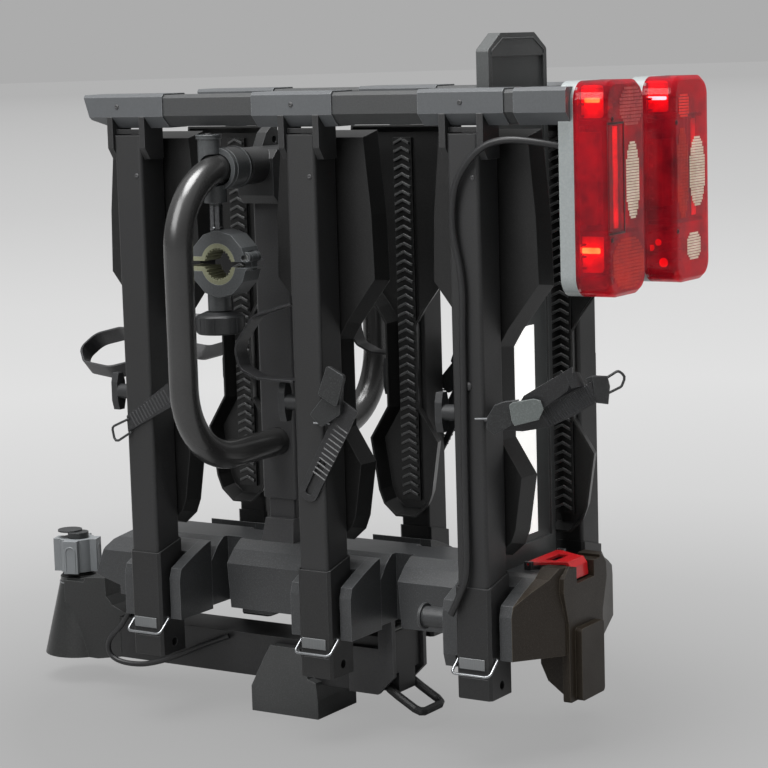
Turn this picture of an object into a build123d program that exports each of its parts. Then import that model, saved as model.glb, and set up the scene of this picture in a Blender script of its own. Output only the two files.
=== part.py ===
from build123d import *
import math
import os

# Folded three-bike hitch rack. Millimetres, +Z up, +X to the rear lamps, Y = 0 on the middle plane.
# The origin is on the floor, under the middle of the bounding box.

# Stations along X, one for each bike
front_x = -161.5
middle_x = 57.0
rear_x = 245.5
stations = (front_x, middle_x, rear_x)
hoop_x = (front_x + middle_x) / 2

# Clearances
pin_gap = 0.06
seat_gap = 0.3

# Folding arms, square tubes that stand upright when folded
arm_w = 35.0
arm_d = 40.0
arm_y = 100.0
arm_wall = 2.0
arm_corner = 4.0
arm_foot_z = 155.0
arm_top_z = 632.0

# Sleeves round the feet of the arms
sleeve_w = arm_w + 4.5
sleeve_d = arm_d + 3.0
sleeve_bottom_z = 73.5
sleeve_low_edge_z = 186.0
sleeve_high_edge_z = 197.0
sleeve_groove_z = 96.0
lock_hole_r = 4.75
lock_hole_z = 85.5
wing_face = arm_y + sleeve_d / 2
wing_back = arm_y - sleeve_d / 2

# Wing hinge, along X
hinge_y = 90.0
hinge_z = 144.0
hinge_r = 5.0

# Wire bails at the sleeve feet
bail_r = 1.4
bail_half = sleeve_w / 2 + 2.05
bail_pivot_y = 111.0
bail_pivot_z = 114.0
bail_bar_y = 129.0
bail_bar_z = 100.0

# Cross beams, inverted channels that straddle the sleeves
cheek_in = sleeve_w / 2 + 4.0
cheek_t = 13.5
cheek_end_y = 109.6
cheek_bottom_z = 113.0
rear_cheek_extra = 4.5
sweep_gap = 1.6
web_half = 18.0

# Centre beam
beam_half = 51.5
beam_bottom_z = 117.0
beam_side_z = 166.0
beam_top_z = 189.0
beam_nose_x = -286.5
beam_end_x = 207.5
waist_half = 20.0
waist_gap = 22.5

# Lower beam, which carries the coupling and stays with the car
low_half = 26.6
low_bottom_z = 36.0
low_top_z = 83.0
low_front_x = -275.5
low_wall = 3.0
tilt_box_x0 = 34.5
tilt_box_x1 = 91.5
tilt_box_top_z = 112.0

# Tilt hinge, along Y
tilt_x = 84.5
tilt_z = 103.0
tilt_r = 6.0
bracket_in = 28.0
bracket_t = 6.0

# Foot pedal
pedal_x = 80.0
pedal_z = 43.0
pedal_r = 4.5
pedal_half = 23.0
pedal_bar_x = 121.5
pedal_bar_z = 19.0

# Foot under the lower beam
foot_x0 = -86.5
foot_x1 = 0.5
foot_half = 38.0
foot_base_z = 28.0

# Ball coupling
coupling_x = -355.5
bell_r0 = 42.0
bell_r1 = 22.0
bell_z0 = 30.0
bell_z1 = 112.0
ball_r = 25.0
ball_z = 55.0
body_half = 27.0
knob_z0 = 125.0
knob_z1 = 163.0
knob_r = 26.0
knob_stem_r = 6.0
cap_z1 = 172.0

# Mast and hoop
hoop_r = 15.0
hoop_half = 183.0
hoop_low_z = 298.5
hoop_high_z = 597.0
hoop_bend = 80.0
collar_z1 = 214.0
post_half_x = 17.0
post_half_y = 17.0
post_z1 = 236.0
mast_half_x = 23.0
mast_half_y = 20.0
head_end_y = hoop_half - hoop_bend - 29.0
head_bottom_z = 556.0

# Bike clamp on the upper leg of the hoop
clamp_w = 30.0
clamp_lap = 7.0
clamp_y1 = hoop_half - hoop_bend + clamp_lap
clamp_y0 = clamp_y1 - clamp_w
clamp_r = 21.5
clamp_neck_r = 6.7
clamp_neck_z = 562.0
jaw_y = clamp_y1 - 2
jaw_x = hoop_x + 4.0
clamp_x = jaw_x - 10.0
jaw_z = 499.5
jaw_t = 28.0
jaw_r = 35.0
jaw_bore_r = 17.0
liner_t = 4.5
jaw_split = 6.0
jaw_pin_x = jaw_x + 32.5
jaw_pin_z = jaw_z + 7.0
jaw_pin_r = 3.0
jaw_ear_r = 5.5
clamp_knob_r = 25.0
clamp_knob_z0 = 426.0
clamp_knob_z1 = 446.0

# Top bars, which join the arm tips of each wing
bar_z0 = 639.5
bar_z1 = 675.0
bar_d = 42.0
bar_x0 = -217.0
bar_x1 = 359.5
bar_bevel = 12.0
cover_t = 1.5
cover_spans = ((bar_x0, -112.5), (0.5, 97.5), (197.5, 292.5), (303.5, bar_x1))
lug_t = 7.0
lug_low_z = 607.0

# Wheel trays
tray_depth = 18.5
tray_rim_y = arm_y - arm_d / 2 - tray_depth
tray_wall = 2.2
tray_draft = 20.0
tray_outline = (
    (56, 634), (64, 550), (66, 482), (30, 436), (20, 420),
    (20, 330), (43, 294), (34, 237), (28, 222), (13, 209),
)
ladder_half = 11.5
ladder_z0 = 226.0
ladder_z1 = 620.0
ladder_t = 3.5

# Tray knobs, on the front side of each arm
tray_knob_z = 357.0
tray_knob_y = 101.6
tray_knob_r = 8.0
tray_knob_out = 45.0
tray_wing = 40.0

# Lamps
lamp_x0 = 346.5
lamp_base_t = 16.0
lamp_x1 = 397.5
lamp_y0 = 32.6
lamp_y1 = 112.6
lamp_z0 = 476.0
lamp_z1 = 680.0
lamp_corner = 20.0
lens_t = 2.5

# Number board between the wings
board_x0 = 228.5
board_x1 = 242.5
board_half = 59.5
board_top_z = 727.0
board_foot_z = 172.0
label_half = 25.5
label_z0 = 216.0
label_z1 = 431.0
label_t = 0.8

# Rear cover and latch
cover_x1 = 308.0
cover_half = 37.0
cover_low_z = 56.0
cover_top_z = 196.0
panel_t = 7.5
latch_hinge_x = 262.0
latch_z = 196.5
latch_half = 32.0
latch_t = 3.0
latch_pin_r = 1.5

# Straps
strap_w = 20.0
strap_t = 2.2
skew_y = arm_y + arm_d / 2 - 5
lever_t = 4.5

# Cables
lamp_cable_r = 3.5
low_cable_r = 3.0


def block(x, y, z):
    """Box between three (low, high) pairs."""
    size = Box(x[1] - x[0], y[1] - y[0], z[1] - z[0])
    return Pos((x[0] + x[1]) / 2, (y[0] + y[1]) / 2, (z[0] + z[1]) / 2) * size


def outline(points, radius=0.0):
    """Flat face inside a closed polyline, with its corners rounded."""
    if radius:
        return make_face(FilletPolyline(*points, radius=radius, close=True))
    return make_face(Polyline(*points, close=True))


def along_x(points, x0, x1, radius=0.0):
    """Outline of (y, z) points, drawn out from x0 to x1."""
    face = Plane(origin=(x0, 0, 0), x_dir=(0, 1, 0), z_dir=(1, 0, 0)) * outline(points, radius)
    return extrude(face, amount=x1 - x0, dir=(1, 0, 0))


def along_y(points, y0, y1, radius=0.0):
    """Outline of (x, z) points, drawn out from y0 to y1."""
    face = Plane(origin=(0, y0, 0), x_dir=(1, 0, 0), z_dir=(0, -1, 0)) * outline(points, radius)
    return extrude(face, amount=y1 - y0, dir=(0, 1, 0))


def along_z(points, z0, z1, radius=0.0):
    """Outline of (x, y) points, drawn out from z0 to z1."""
    face = Plane(origin=(0, 0, z0)) * outline(points, radius)
    return extrude(face, amount=z1 - z0, dir=(0, 0, 1))


def rod_x(x0, x1, y, z, r):
    """Round bar along X."""
    return Pos((x0 + x1) / 2, y, z) * Rot(0, 90, 0) * Cylinder(r, x1 - x0)


def rod_y(y0, y1, x, z, r):
    """Round bar along Y."""
    return Pos(x, (y0 + y1) / 2, z) * Rot(90, 0, 0) * Cylinder(r, y1 - y0)


def rod_z(z0, z1, x, y, r):
    """Round bar along Z."""
    return Pos(x, y, (z0 + z1) / 2) * Cylinder(r, z1 - z0)


def square_tube(x, y, half_x, half_y, corner, z0, z1):
    """Upright bar with rounded corners."""
    face = Plane(origin=(x, y, z0)) * RectangleRounded(2 * half_x, 2 * half_y, corner)
    return extrude(face, amount=z1 - z0)


def cord(points, r):
    """Six-sided cord along a polyline, with bends as large as its runs allow."""
    path = FilletPolyline(*points, radius=bend_radii(points))
    section = Plane(origin=path @ 0, z_dir=path % 0) * RegularPolygon(r, 6)
    return sweep(section, path=path)


def bent(points, radii, steps=2):
    """Polyline with each corner cut into short runs round its bend."""
    path = [Vector(points[0])]
    for i, radius in enumerate(radii):
        before, here, after = (Vector(points[i + k]) for k in range(3))
        into = (here - before).normalized()
        out = (after - here).normalized()
        half = math.radians(into.get_angle(out)) / 2
        reach = radius * math.tan(half)
        centre = here + (out - into).normalized() * (radius / math.cos(half))
        start = here - into * reach
        spoke = start - centre
        for k in range(steps + 1):
            angle = 2 * half * k / steps
            path.append(centre + spoke * math.cos(angle) + into * radius * math.sin(angle))
    path.append(Vector(points[-1]))
    return path


def wire(points, radii, r, sides=8, steps=2):
    """Wire along a polyline, mitred round each bend; its corners lie on radius r."""
    path = bent(points, radii, steps)
    run = (path[1] - path[0]).normalized()
    plane = Plane(origin=path[0], z_dir=run)
    ring = [plane.from_local_coords(Vector(r, 0, 0).rotate(Axis.Z, 360 * k / sides)) for k in range(sides)]
    faces = [make_face(Polyline(*ring, close=True)).faces()[0]]
    for i in range(1, len(path)):
        run = (path[i] - path[i - 1]).normalized()
        cut = run if i == len(path) - 1 else (run + (path[i + 1] - path[i]).normalized()).normalized()
        ahead = [p + run * ((path[i] - p).dot(cut) / run.dot(cut)) for p in ring]
        for k in range(sides):
            m = (k + 1) % sides
            faces.append(make_face(Polyline(ring[k], ring[m], ahead[m], ahead[k], close=True)).faces()[0])
        ring = ahead
    faces.append(make_face(Polyline(*ring, close=True)).faces()[0])
    return Solid(Shell(faces))


def band(points, radius, width, thick):
    """Flat strap along (x, y, z) points in one XZ plane, its width along Y."""
    path = FilletPolyline(*points, radius=radius)
    section = Plane(origin=path @ 0, x_dir=(0, 1, 0), z_dir=path % 0) * Rectangle(width, thick)
    return sweep(section, path=path)


def bend_radii(points):
    """Largest tangent bends that a cord's runs leave room for, as a list."""
    radii = []
    for before, here, after in zip(points, points[1:], points[2:]):
        run_in = Vector(here) - Vector(before)
        run_out = Vector(after) - Vector(here)
        turn = math.radians(run_in.get_angle(run_out))
        radii.append(0.45 * min(run_in.length, run_out.length) / math.tan(turn / 2))
    return radii


def merged(shapes):
    """One shape from several."""
    whole = shapes[0]
    for shape in shapes[1:]:
        whole = whole + shape
    return whole


def write(name, shapes, side=1):
    """Export a node. Wings are drawn on the far side (+Y) and mirrored for the near one."""
    solids = []
    for shape in shapes:
        solids.extend(shape.solids())
    if side < 0:
        solids = [mirror(solid, about=Plane.XZ).solids()[0] for solid in solids]
    export_step(Compound(solids), "parts/" + name + ".step")


# Wings

def bar_profile(inset=0.0):
    """Top bar section as (y, z) points: a box with a wide outer bevel below."""
    y0 = wing_face - bar_d + inset
    y1 = wing_face - inset
    z0 = bar_z0 + inset
    z1 = bar_z1 - inset
    bevel = bar_bevel - 0.6 * inset
    return ((y0, z0), (y1 - bevel, z0), (y1, z0 + bevel), (y1, z1 - 3), (y1 - 3, z1), (y0 + 3, z1), (y0, z1 - 3))


def arm(x):
    """Square tube with two cast lugs that hold the top bar."""
    half_x = arm_w / 2
    half_y = arm_d / 2
    body = square_tube(x, arm_y, half_x, half_y, arm_corner, arm_foot_z, arm_top_z)
    body = body - block(
        (x - half_x + arm_wall, x + half_x - arm_wall),
        (arm_y - half_y + arm_wall, arm_y + half_y - arm_wall),
        (arm_foot_z, arm_top_z - 2 * arm_wall),
    )
    lug = (
        (wing_face, bar_z0 + bar_bevel), (wing_face, lug_low_z + 12), (wing_face - 8, lug_low_z),
        (hinge_y, lug_low_z), (hinge_y, bar_z0), (wing_face - bar_bevel, bar_z0),
    )
    body = body + along_x(lug, x - half_x - lug_t, x - half_x)
    body = body + along_x(lug, x + half_x, x + half_x + lug_t)
    mid_z = (arm_top_z + bar_z0) / 2
    return body + block((x - half_x, x + half_x), (wing_face - 12, wing_face - 7), (mid_z - 2.5, mid_z + 2.5))


def sleeve(x):
    """Moulded sleeve with a solid foot, slanting upper edge, hinge bore and lock hole."""
    half_x = sleeve_w / 2
    bevel = 3
    section = (
        (x - half_x, wing_back + bevel), (x - half_x + bevel, wing_back), (x + half_x - bevel, wing_back),
        (x + half_x, wing_back + bevel), (x + half_x, wing_face - bevel), (x + half_x - bevel, wing_face),
        (x - half_x + bevel, wing_face), (x - half_x, wing_face - bevel),
    )
    body = along_z(section, sleeve_bottom_z, sleeve_high_edge_z)
    slant = (
        (wing_face + 1, sleeve_low_edge_z), (wing_back - 1, sleeve_high_edge_z),
        (wing_back - 1, sleeve_high_edge_z + 9), (wing_face + 1, sleeve_high_edge_z + 9),
    )
    body = body - along_x(slant, x - half_x - 1, x + half_x + 1)
    fit = 0.1
    body = body - block(
        (x - arm_w / 2 - fit, x + arm_w / 2 + fit), (arm_y - arm_d / 2 - fit, arm_y + arm_d / 2 + fit),
        (arm_foot_z, sleeve_high_edge_z + 1),
    )
    body = body - block((x - half_x + 4, x + half_x - 4), (wing_face - 1, wing_face + 1),
                        (sleeve_groove_z - 1, sleeve_groove_z + 1))
    lock = Plane(origin=(x - sleeve_w, arm_y, lock_hole_z), x_dir=(0, 1, 0), z_dir=(1, 0, 0))
    body = body - extrude(lock * RegularPolygon(lock_hole_r, 12), amount=2 * sleeve_w, dir=(1, 0, 0))
    body = body - rod_x(x - sleeve_w, x + sleeve_w, hinge_y, hinge_z, hinge_r + pin_gap)
    for sign in (-1, 1):
        start = Plane(origin=(x + sign * (half_x - 6), bail_pivot_y, bail_pivot_z), x_dir=(0, 1, 0), z_dir=(1, 0, 0))
        hole = start * RegularPolygon(bail_r + pin_gap, 8, major_radius=False)
        body = body - extrude(hole, amount=8, dir=(sign, 0, 0))
    return body


def bail(x):
    """Wire bail whose ends turn in to the sleeve."""
    stub = sleeve_w / 2 - 5
    points = (
        (x - stub, bail_pivot_y, bail_pivot_z), (x - bail_half, bail_pivot_y, bail_pivot_z),
        (x - bail_half, bail_bar_y, bail_bar_z), (x + bail_half, bail_bar_y, bail_bar_z),
        (x + bail_half, bail_pivot_y, bail_pivot_z), (x + stub, bail_pivot_y, bail_pivot_z),
    )
    return wire(points, [0.5, 5, 5, 0.5], bail_r)


def tag(x):
    """Small plate on the outer face of a sleeve."""
    return block((x - 16, x + 13), (wing_face, wing_face + 0.8), (104, 115))


def bar_nose(shift=0.0):
    """Piece cut from under the front end of the bar, moved back by shift."""
    x0 = bar_x0 + shift
    points = (
        (x0, bar_z1 + 1), (x0, bar_z1), (x0 + 8.5, bar_z0 + 9), (x0 + 32, bar_z0), (x0 + 32, bar_z0 - 2),
        (x0 - 9, bar_z0 - 2), (x0 - 9, bar_z1 + 1),
    )
    return along_y(points, arm_y - arm_d, arm_y + arm_d)


def top_bar():
    """Hollow bar that runs inside the smooth covers."""
    outer = along_x(bar_profile(cover_t), bar_x0 + 3, bar_x1 - 3) - bar_nose(3)
    inner = along_x(bar_profile(cover_t + arm_wall), bar_x0 + 44, bar_x1 - 6)
    return outer - inner


def bar_covers():
    """Smooth sleeves over the bar; the first one closes its tapered end."""
    inner = along_x(bar_profile(cover_t), bar_x0 + 3, bar_x1 - 3)
    covers = [along_x(bar_profile(), x0, x1) - inner for x0, x1 in cover_spans]
    shell = along_x(bar_profile(), bar_x0, cover_spans[0][1]) - bar_nose()
    covers[0] = shell - (inner - bar_nose(3))
    return covers


def tray_face(x):
    """Tray outline at its rim, facing away from the middle plane."""
    right = [(-x - w, z) for w, z in tray_outline]
    left = [(-x + w, z) for w, z in reversed(tray_outline)]
    return Plane(origin=(0, tray_rim_y, 0), x_dir=(-1, 0, 0), z_dir=(0, 1, 0)) * outline(right + left)


def tray(x):
    """Wheel tray: a drafted tub, open to the middle, with a raised strap ladder."""
    outer = extrude(tray_face(x), amount=tray_depth, taper=tray_draft)
    inner_face = offset(tray_face(x), amount=-tray_wall, kind=Kind.INTERSECTION)
    inner = extrude(inner_face, amount=tray_depth - tray_wall, taper=tray_draft)
    floor = tray_rim_y + tray_depth - tray_wall
    ladder = block((x - ladder_half, x + ladder_half), (floor - ladder_t, floor), (ladder_z0, ladder_z1))
    return outer - inner + ladder


def tray_knob(x):
    """Wing knob on a stud through the side of the arm."""
    side = x - arm_w / 2
    hub_end = x - tray_knob_out + 8
    hub = rod_x(hub_end, side - seat_gap, tray_knob_y, tray_knob_z, tray_knob_r)
    wing = along_x(
        (
            (tray_knob_y - 7, tray_knob_z - 10), (tray_knob_y - 4, tray_knob_z - tray_wing / 2),
            (tray_knob_y + 4, tray_knob_z - tray_wing / 2), (tray_knob_y + 7, tray_knob_z - 10),
            (tray_knob_y + 7, tray_knob_z + 10), (tray_knob_y + 4, tray_knob_z + tray_wing / 2),
            (tray_knob_y - 4, tray_knob_z + tray_wing / 2), (tray_knob_y - 7, tray_knob_z + 10),
        ),
        x - tray_knob_out, hub_end,
    )
    return hub + wing


def lamp_outline(inset=0.0):
    """Lamp outline as (y, z) points."""
    return (
        (lamp_y0 + inset, lamp_z0 + inset), (lamp_y1 - inset, lamp_z0 + inset),
        (lamp_y1 - inset, lamp_z1 - inset), (lamp_y0 + inset, lamp_z1 - inset),
    )


def lamp_base():
    """Lamp housing, notched for the end of the top bar."""
    base = along_x(lamp_outline(), lamp_x0, lamp_x0 + lamp_base_t, lamp_corner)
    return base - along_x(bar_profile(), lamp_x0 - 1, bar_x1)


def lamp_lens():
    """Lamp lens, a clear shell with a bevelled front edge."""
    start = lamp_x0 + lamp_base_t
    shell = along_x(lamp_outline(), start, lamp_x1, lamp_corner)
    front = shell.faces().sort_by(Axis.X)[-1]
    shell = chamfer(front.edges(), 4)
    return shell - along_x(lamp_outline(lens_t), start, lamp_x1 - lens_t, lamp_corner - lens_t)


def strap_tail(points, y0):
    """Flat strap end that lies across the outer face of an arm."""
    return along_y(points, y0, y0 + strap_t)


def skew(points, out0, out1):
    """Plate on the slanting plane of the rear strap, from (along, z) points and two outward offsets."""
    along = Vector(107, -43, 0).normalized()
    out = Vector(43, 107, 0).normalized()
    plane = Plane(origin=Vector(265, skew_y, 0) + out * out0, x_dir=along, z_dir=out)
    flat = [(a, -z) if plane.y_dir.Z < 0 else (a, z) for a, z in points]
    return extrude(plane * outline(flat), amount=out1 - out0, dir=out)


def skew_point(a, z, out):
    """Point on the slanting plane of the rear strap."""
    along = Vector(107, -43, 0).normalized()
    outward = Vector(43, 107, 0).normalized()
    return Vector(265, skew_y, z) + along * a + outward * out


def straps(side):
    """Strap loops and tails of one wing; only the near rear strap stands away from its arm."""
    face = arm_y + arm_d / 2 + 0.1
    lane = tray_rim_y + 8.5
    tray_side = front_x - 20.6
    loop_1 = band(
        (
            (tray_side, lane, 416), (-225, lane, 414), (-258, lane, 406), (-272, lane, 391),
            (-258, lane, 378), (-222, lane, 374), (tray_side, lane, 382),
        ),
        [24, 24, 9, 9, 24], strap_w, strap_t,
    )
    arm_side = middle_x - arm_w / 2 - 0.5
    outer_lane = arm_y + arm_d / 2 - 10
    loop_2 = band(
        (
            (arm_side, outer_lane, 461), (-8, outer_lane, 447), (-34, outer_lane, 414),
            (-27, outer_lane, 391), (-6, outer_lane, 382), (arm_side, outer_lane, 381),
        ),
        [24, 20, 12, 16], strap_w, strap_t,
    )
    tail_1 = strap_tail(((-119.5, 372), (-116.5, 347), (-175.5, 317), (-176.5, 334)), face)
    tail_2 = strap_tail(((110.5, 386), (114.5, 361), (56.5, 258), (48, 256), (41.5, 266)), face)
    if side > 0:
        half = arm_w / 2 - 4
        hanging = ((rear_x - half, 386), (rear_x + half, 386), (rear_x + half, 252), (rear_x, 244), (rear_x - half, 252))
        return [loop_1, loop_2, tail_1, tail_2, strap_tail(hanging, face)]
    band_3 = skew(((8, 345), (27, 351), (59, 370), (101.5, 392), (104.5, 371), (86, 360), (60.7, 348), (33.7, 343.5)),
                  0, strap_t)
    plain_3 = skew(((20, 353), (36, 379), (83.5, 407), (84, 397), (78, 383.5), (56, 367.6)), 2 * strap_t, 3 * strap_t)
    return [loop_1, loop_2, tail_1, tail_2, band_3, plain_3]


def buckles(side):
    """Strap buckles and end hooks of one wing."""
    y0 = arm_y + arm_d / 2 + 0.1 + strap_t
    ratchet_2 = along_y(((78, 338), (101, 352), (103, 392), (84, 372), (64, 350)), y0, y0 + 6, 3)
    wire_y = y0 + 1.4
    hook_1 = wire(
        ((-173, wire_y, 331), (-196, wire_y, 321), (-192.5, wire_y, 304), (-170, wire_y, 317)), [4, 4], 1.3
    )
    if side > 0:
        return [ratchet_2, hook_1, block((rear_x - 12, rear_x + 12), (y0, y0 + 6), (338, 390))]
    body = ((-0.5, 347), (0, 358), (7.4, 370), (17.5, 373.5), (31, 375), (24, 351), (14, 345), (6.7, 341))
    ratchet_3 = skew(body, strap_t, 2 * strap_t) + skew(body, 3 * strap_t, 8.5)
    ratchet_3 = ratchet_3 + skew(((-0.5, 347), (0, 358), (7.4, 370), (14, 372), (12, 344), (6.7, 341)), strap_t, 8.5)
    stub_3 = rod_x(rear_x + arm_w / 2, rear_x + arm_w / 2 + 5, skew_y + 3.3, 354, 1.3)
    end_3 = skew(((95.7, 395), (103, 397.7), (116.5, 397), (118.8, 387), (117, 370), (102, 373.4)), -2.4, 0)
    end_3 = end_3 + skew(((104.8, 371.5), (102, 397), (116.5, 397), (118.8, 387), (117, 370)), 0, strap_t)
    loop = ((115, 395), (127, 402.5), (134, 397), (130, 387), (116, 380))
    hook_3 = wire([skew_point(a, z, 0.6) for a, z in loop], [3, 5, 4], 1.3)
    return [ratchet_2, hook_1, merged([ratchet_3, stub_3]), merged([end_3, hook_3])]


def flat_lever(points):
    """Lever of a buckle on the outer face of an arm, from its hinge edge out to its tip."""
    y0 = arm_y + arm_d / 2 + 0.1 + strap_t + 6 + seat_gap
    return along_y(points, y0, y0 + lever_t, 3)


def skew_lever():
    """Lever of the near rear buckle."""
    points = (
        (22.5, 371), (26, 373.5), (46.2, 376.8), (52.8, 375), (55.7, 366.7), (50.8, 356.6), (27.2, 350.7), (24.5, 356),
    )
    return skew(points, 8.5 + seat_gap, 8.5 + seat_gap + lever_t)


def wing(name, side):
    """Write every node of one wing."""
    write(name + "_arms", [arm(x) for x in stations], side)
    write(name + "_sleeves", [sleeve(x) for x in stations], side)
    write(name + "_bails", [bail(x) for x in stations], side)
    write(name + "_tags", [tag(x) for x in stations], side)
    write(name + "_bar", [top_bar()], side)
    write(name + "_bar_covers", bar_covers(), side)
    write(name + "_trays", [tray(x) for x in stations], side)
    write(name + "_lamp_base", [lamp_base()], side)
    write(name + "_lamp_lens", [lamp_lens()], side)
    write(name + "_straps", straps(side), side)
    write(name + "_buckles", buckles(side), side)
    write(name + "_middle_lever", [flat_lever(((78, 372), (100, 360), (110, 392), (90, 402)))], side)
    hanging = ((rear_x - 9, 380), (rear_x + 9, 380), (rear_x + 8, 416), (rear_x - 8, 416))
    write(name + "_rear_lever", [flat_lever(hanging) if side > 0 else skew_lever()], side)
    for place, x in zip(("front", "middle", "rear"), stations):
        write(name + "_" + place + "_knob", [tray_knob(x)], side)


# Platform

def cheek_profile(low_z=cheek_bottom_z):
    """Side plate of a cross beam as (y, z) points, from the centre beam out."""
    return (
        (beam_half, low_z), (cheek_end_y, low_z), (cheek_end_y, 157), (106, 168), (84, 178), (60, 187),
        (beam_half, 189),
    )


def cross_beam(x):
    """Two cheeks and a roof on each side of the centre beam, clear of the sweeping sleeve feet."""
    pieces = []
    roof_z = hinge_z + (hinge_y - wing_back) + sweep_gap
    roof = (
        (beam_half, roof_z), (wing_back - 3.5, roof_z), (wing_back - 3.5, 180.5), (60, 187), (beam_half, 189),
    )
    for side in (-1, 1):
        for sign in (-1, 1):
            x0, x1 = sorted((x + sign * cheek_in, x + sign * (cheek_in + cheek_t)))
            pieces.append(along_x([(side * y, z) for y, z in cheek_profile()], x0, x1))
        pieces.append(along_x([(side * y, z) for y, z in roof], x - cheek_in, x + cheek_in))
    return pieces


def hinge_pins():
    """Pins of both wing hinges and the tilt hinge."""
    pins = []
    for x in stations:
        for side in (-1, 1):
            pins.append(rod_x(x - cheek_in, x + cheek_in, side * hinge_y, hinge_z, hinge_r))
    pins.append(rod_y(-bracket_in, bracket_in, tilt_x, tilt_z, tilt_r))
    return pins


def beam_profile():
    """Centre beam section as (y, z) points."""
    half = (
        (beam_half, beam_bottom_z), (beam_half, beam_side_z), (40, 180), (28, beam_top_z),
    )
    return half + tuple((-y, z) for y, z in reversed(half))


def centre_beam():
    """Moulded beam with a sloping nose, notched where the sleeve feet swing in."""
    beam = along_x(beam_profile(), beam_nose_x, beam_end_x)
    nose = (
        (beam_nose_x - 1, beam_top_z + 1), (beam_nose_x - 1, beam_bottom_z - 1), (beam_nose_x + 34, beam_bottom_z - 1),
        (beam_nose_x + 34, beam_bottom_z + 10), (beam_nose_x, 137), (beam_nose_x + 13, 169),
        (beam_nose_x + 20, 177), (beam_nose_x + 44, beam_top_z + 1),
    )
    beam = beam - along_y(nose, -beam_half - 1, beam_half + 1)
    roof_z = hinge_z + (hinge_y - wing_back) + sweep_gap
    for x in (front_x, middle_x):
        for side in (-1, 1):
            y0, y1 = sorted((side * web_half, side * (beam_half + 1)))
            beam = beam - block((x - cheek_in, x + cheek_in), (y0, y1), (beam_bottom_z - 1, roof_z))
    for x in (front_x, middle_x):
        start = x + cheek_in + cheek_t
        stop = start + waist_gap
        cut = (
            (start, beam_bottom_z - 1), (stop + 2, beam_bottom_z - 1), (stop - 1.5, beam_side_z),
            (stop + 1, beam_top_z + 1), (start, beam_top_z + 1),
        )
        beam = beam - along_y(cut, -beam_half - 1, -waist_half) - along_y(cut, waist_half, beam_half + 1)
    return beam + block((hoop_x - 41, hoop_x - 1), (-40, 40), (110, beam_bottom_z))


def tilt_bracket():
    """Two plates that hang from the centre beam and carry the tilt pin."""
    low_part_z = 86.0
    step_x = middle_x + sleeve_w / 2 + 0.8
    plate = (
        (tilt_box_x0 + 5, low_bottom_z), (75.5, low_bottom_z), (95.5, 56), (95.5, beam_bottom_z),
        (step_x, beam_bottom_z), (step_x, low_part_z), (tilt_box_x0 + 5, low_part_z),
    )
    plates = []
    for side in (-1, 1):
        y0, y1 = sorted((side * bracket_in, side * (bracket_in + bracket_t)))
        plates.append(along_y(plate, y0, y1))
    return plates


def rear_beam():
    """Rear cross beam with a solid web, a slot for the board and two hinge bosses."""
    pieces = cross_beam(rear_x)
    roof_z = hinge_z + (hinge_y - wing_back) + sweep_gap
    x0 = rear_x - cheek_in - cheek_t
    x1 = rear_x + cheek_in + cheek_t
    top = ((-beam_half, roof_z), (beam_half, roof_z), (beam_half, 189), (-beam_half, 189))
    core = along_x(top, x0, x1)
    core = core + block((rear_x - cheek_in, rear_x + cheek_in), (-web_half, web_half), (cheek_bottom_z, roof_z))
    for sign in (-1, 1):
        a, b = sorted((rear_x + sign * cheek_in, rear_x + sign * (cheek_in + cheek_t)))
        core = core + block((a, b), (-beam_half, beam_half), (cheek_bottom_z, roof_z))
    whole = merged([core] + pieces)
    front = x0 - rear_cheek_extra
    for side in (-1, 1):
        whole = whole + along_x([(side * y, z) for y, z in cheek_profile()], front, x0)
        whole = whole + rod_x(front - 31, front, side * hinge_y, hinge_z, 10.5)
        whole = whole + rod_x(front - 34, front - 31, side * hinge_y, hinge_z, 13.4)
    slot = block((board_x0 - seat_gap, board_x1 + seat_gap), (-board_half - seat_gap, board_half + seat_gap),
                 (board_foot_z - seat_gap, 200))
    whole = whole - slot
    for side in (-1, 1):
        tip = (
            (side * cheek_end_y, cheek_bottom_z), (side * (cheek_end_y - 30), cheek_bottom_z),
            (side * (cheek_end_y - 4), cheek_bottom_z - 13),
        )
        whole = whole + along_x(tip, front, front + cheek_t)
        y0, y1 = sorted((side * (latch_half + 0.4), side * (latch_half + 5)))
        ear = block((latch_hinge_x - 4, latch_hinge_x + 4), (y0, y1), (188, latch_z + 1))
        whole = whole + ear - rod_y(y0, y1, latch_hinge_x, latch_z - latch_t / 2, latch_pin_r + pin_gap)
    return whole


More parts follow.
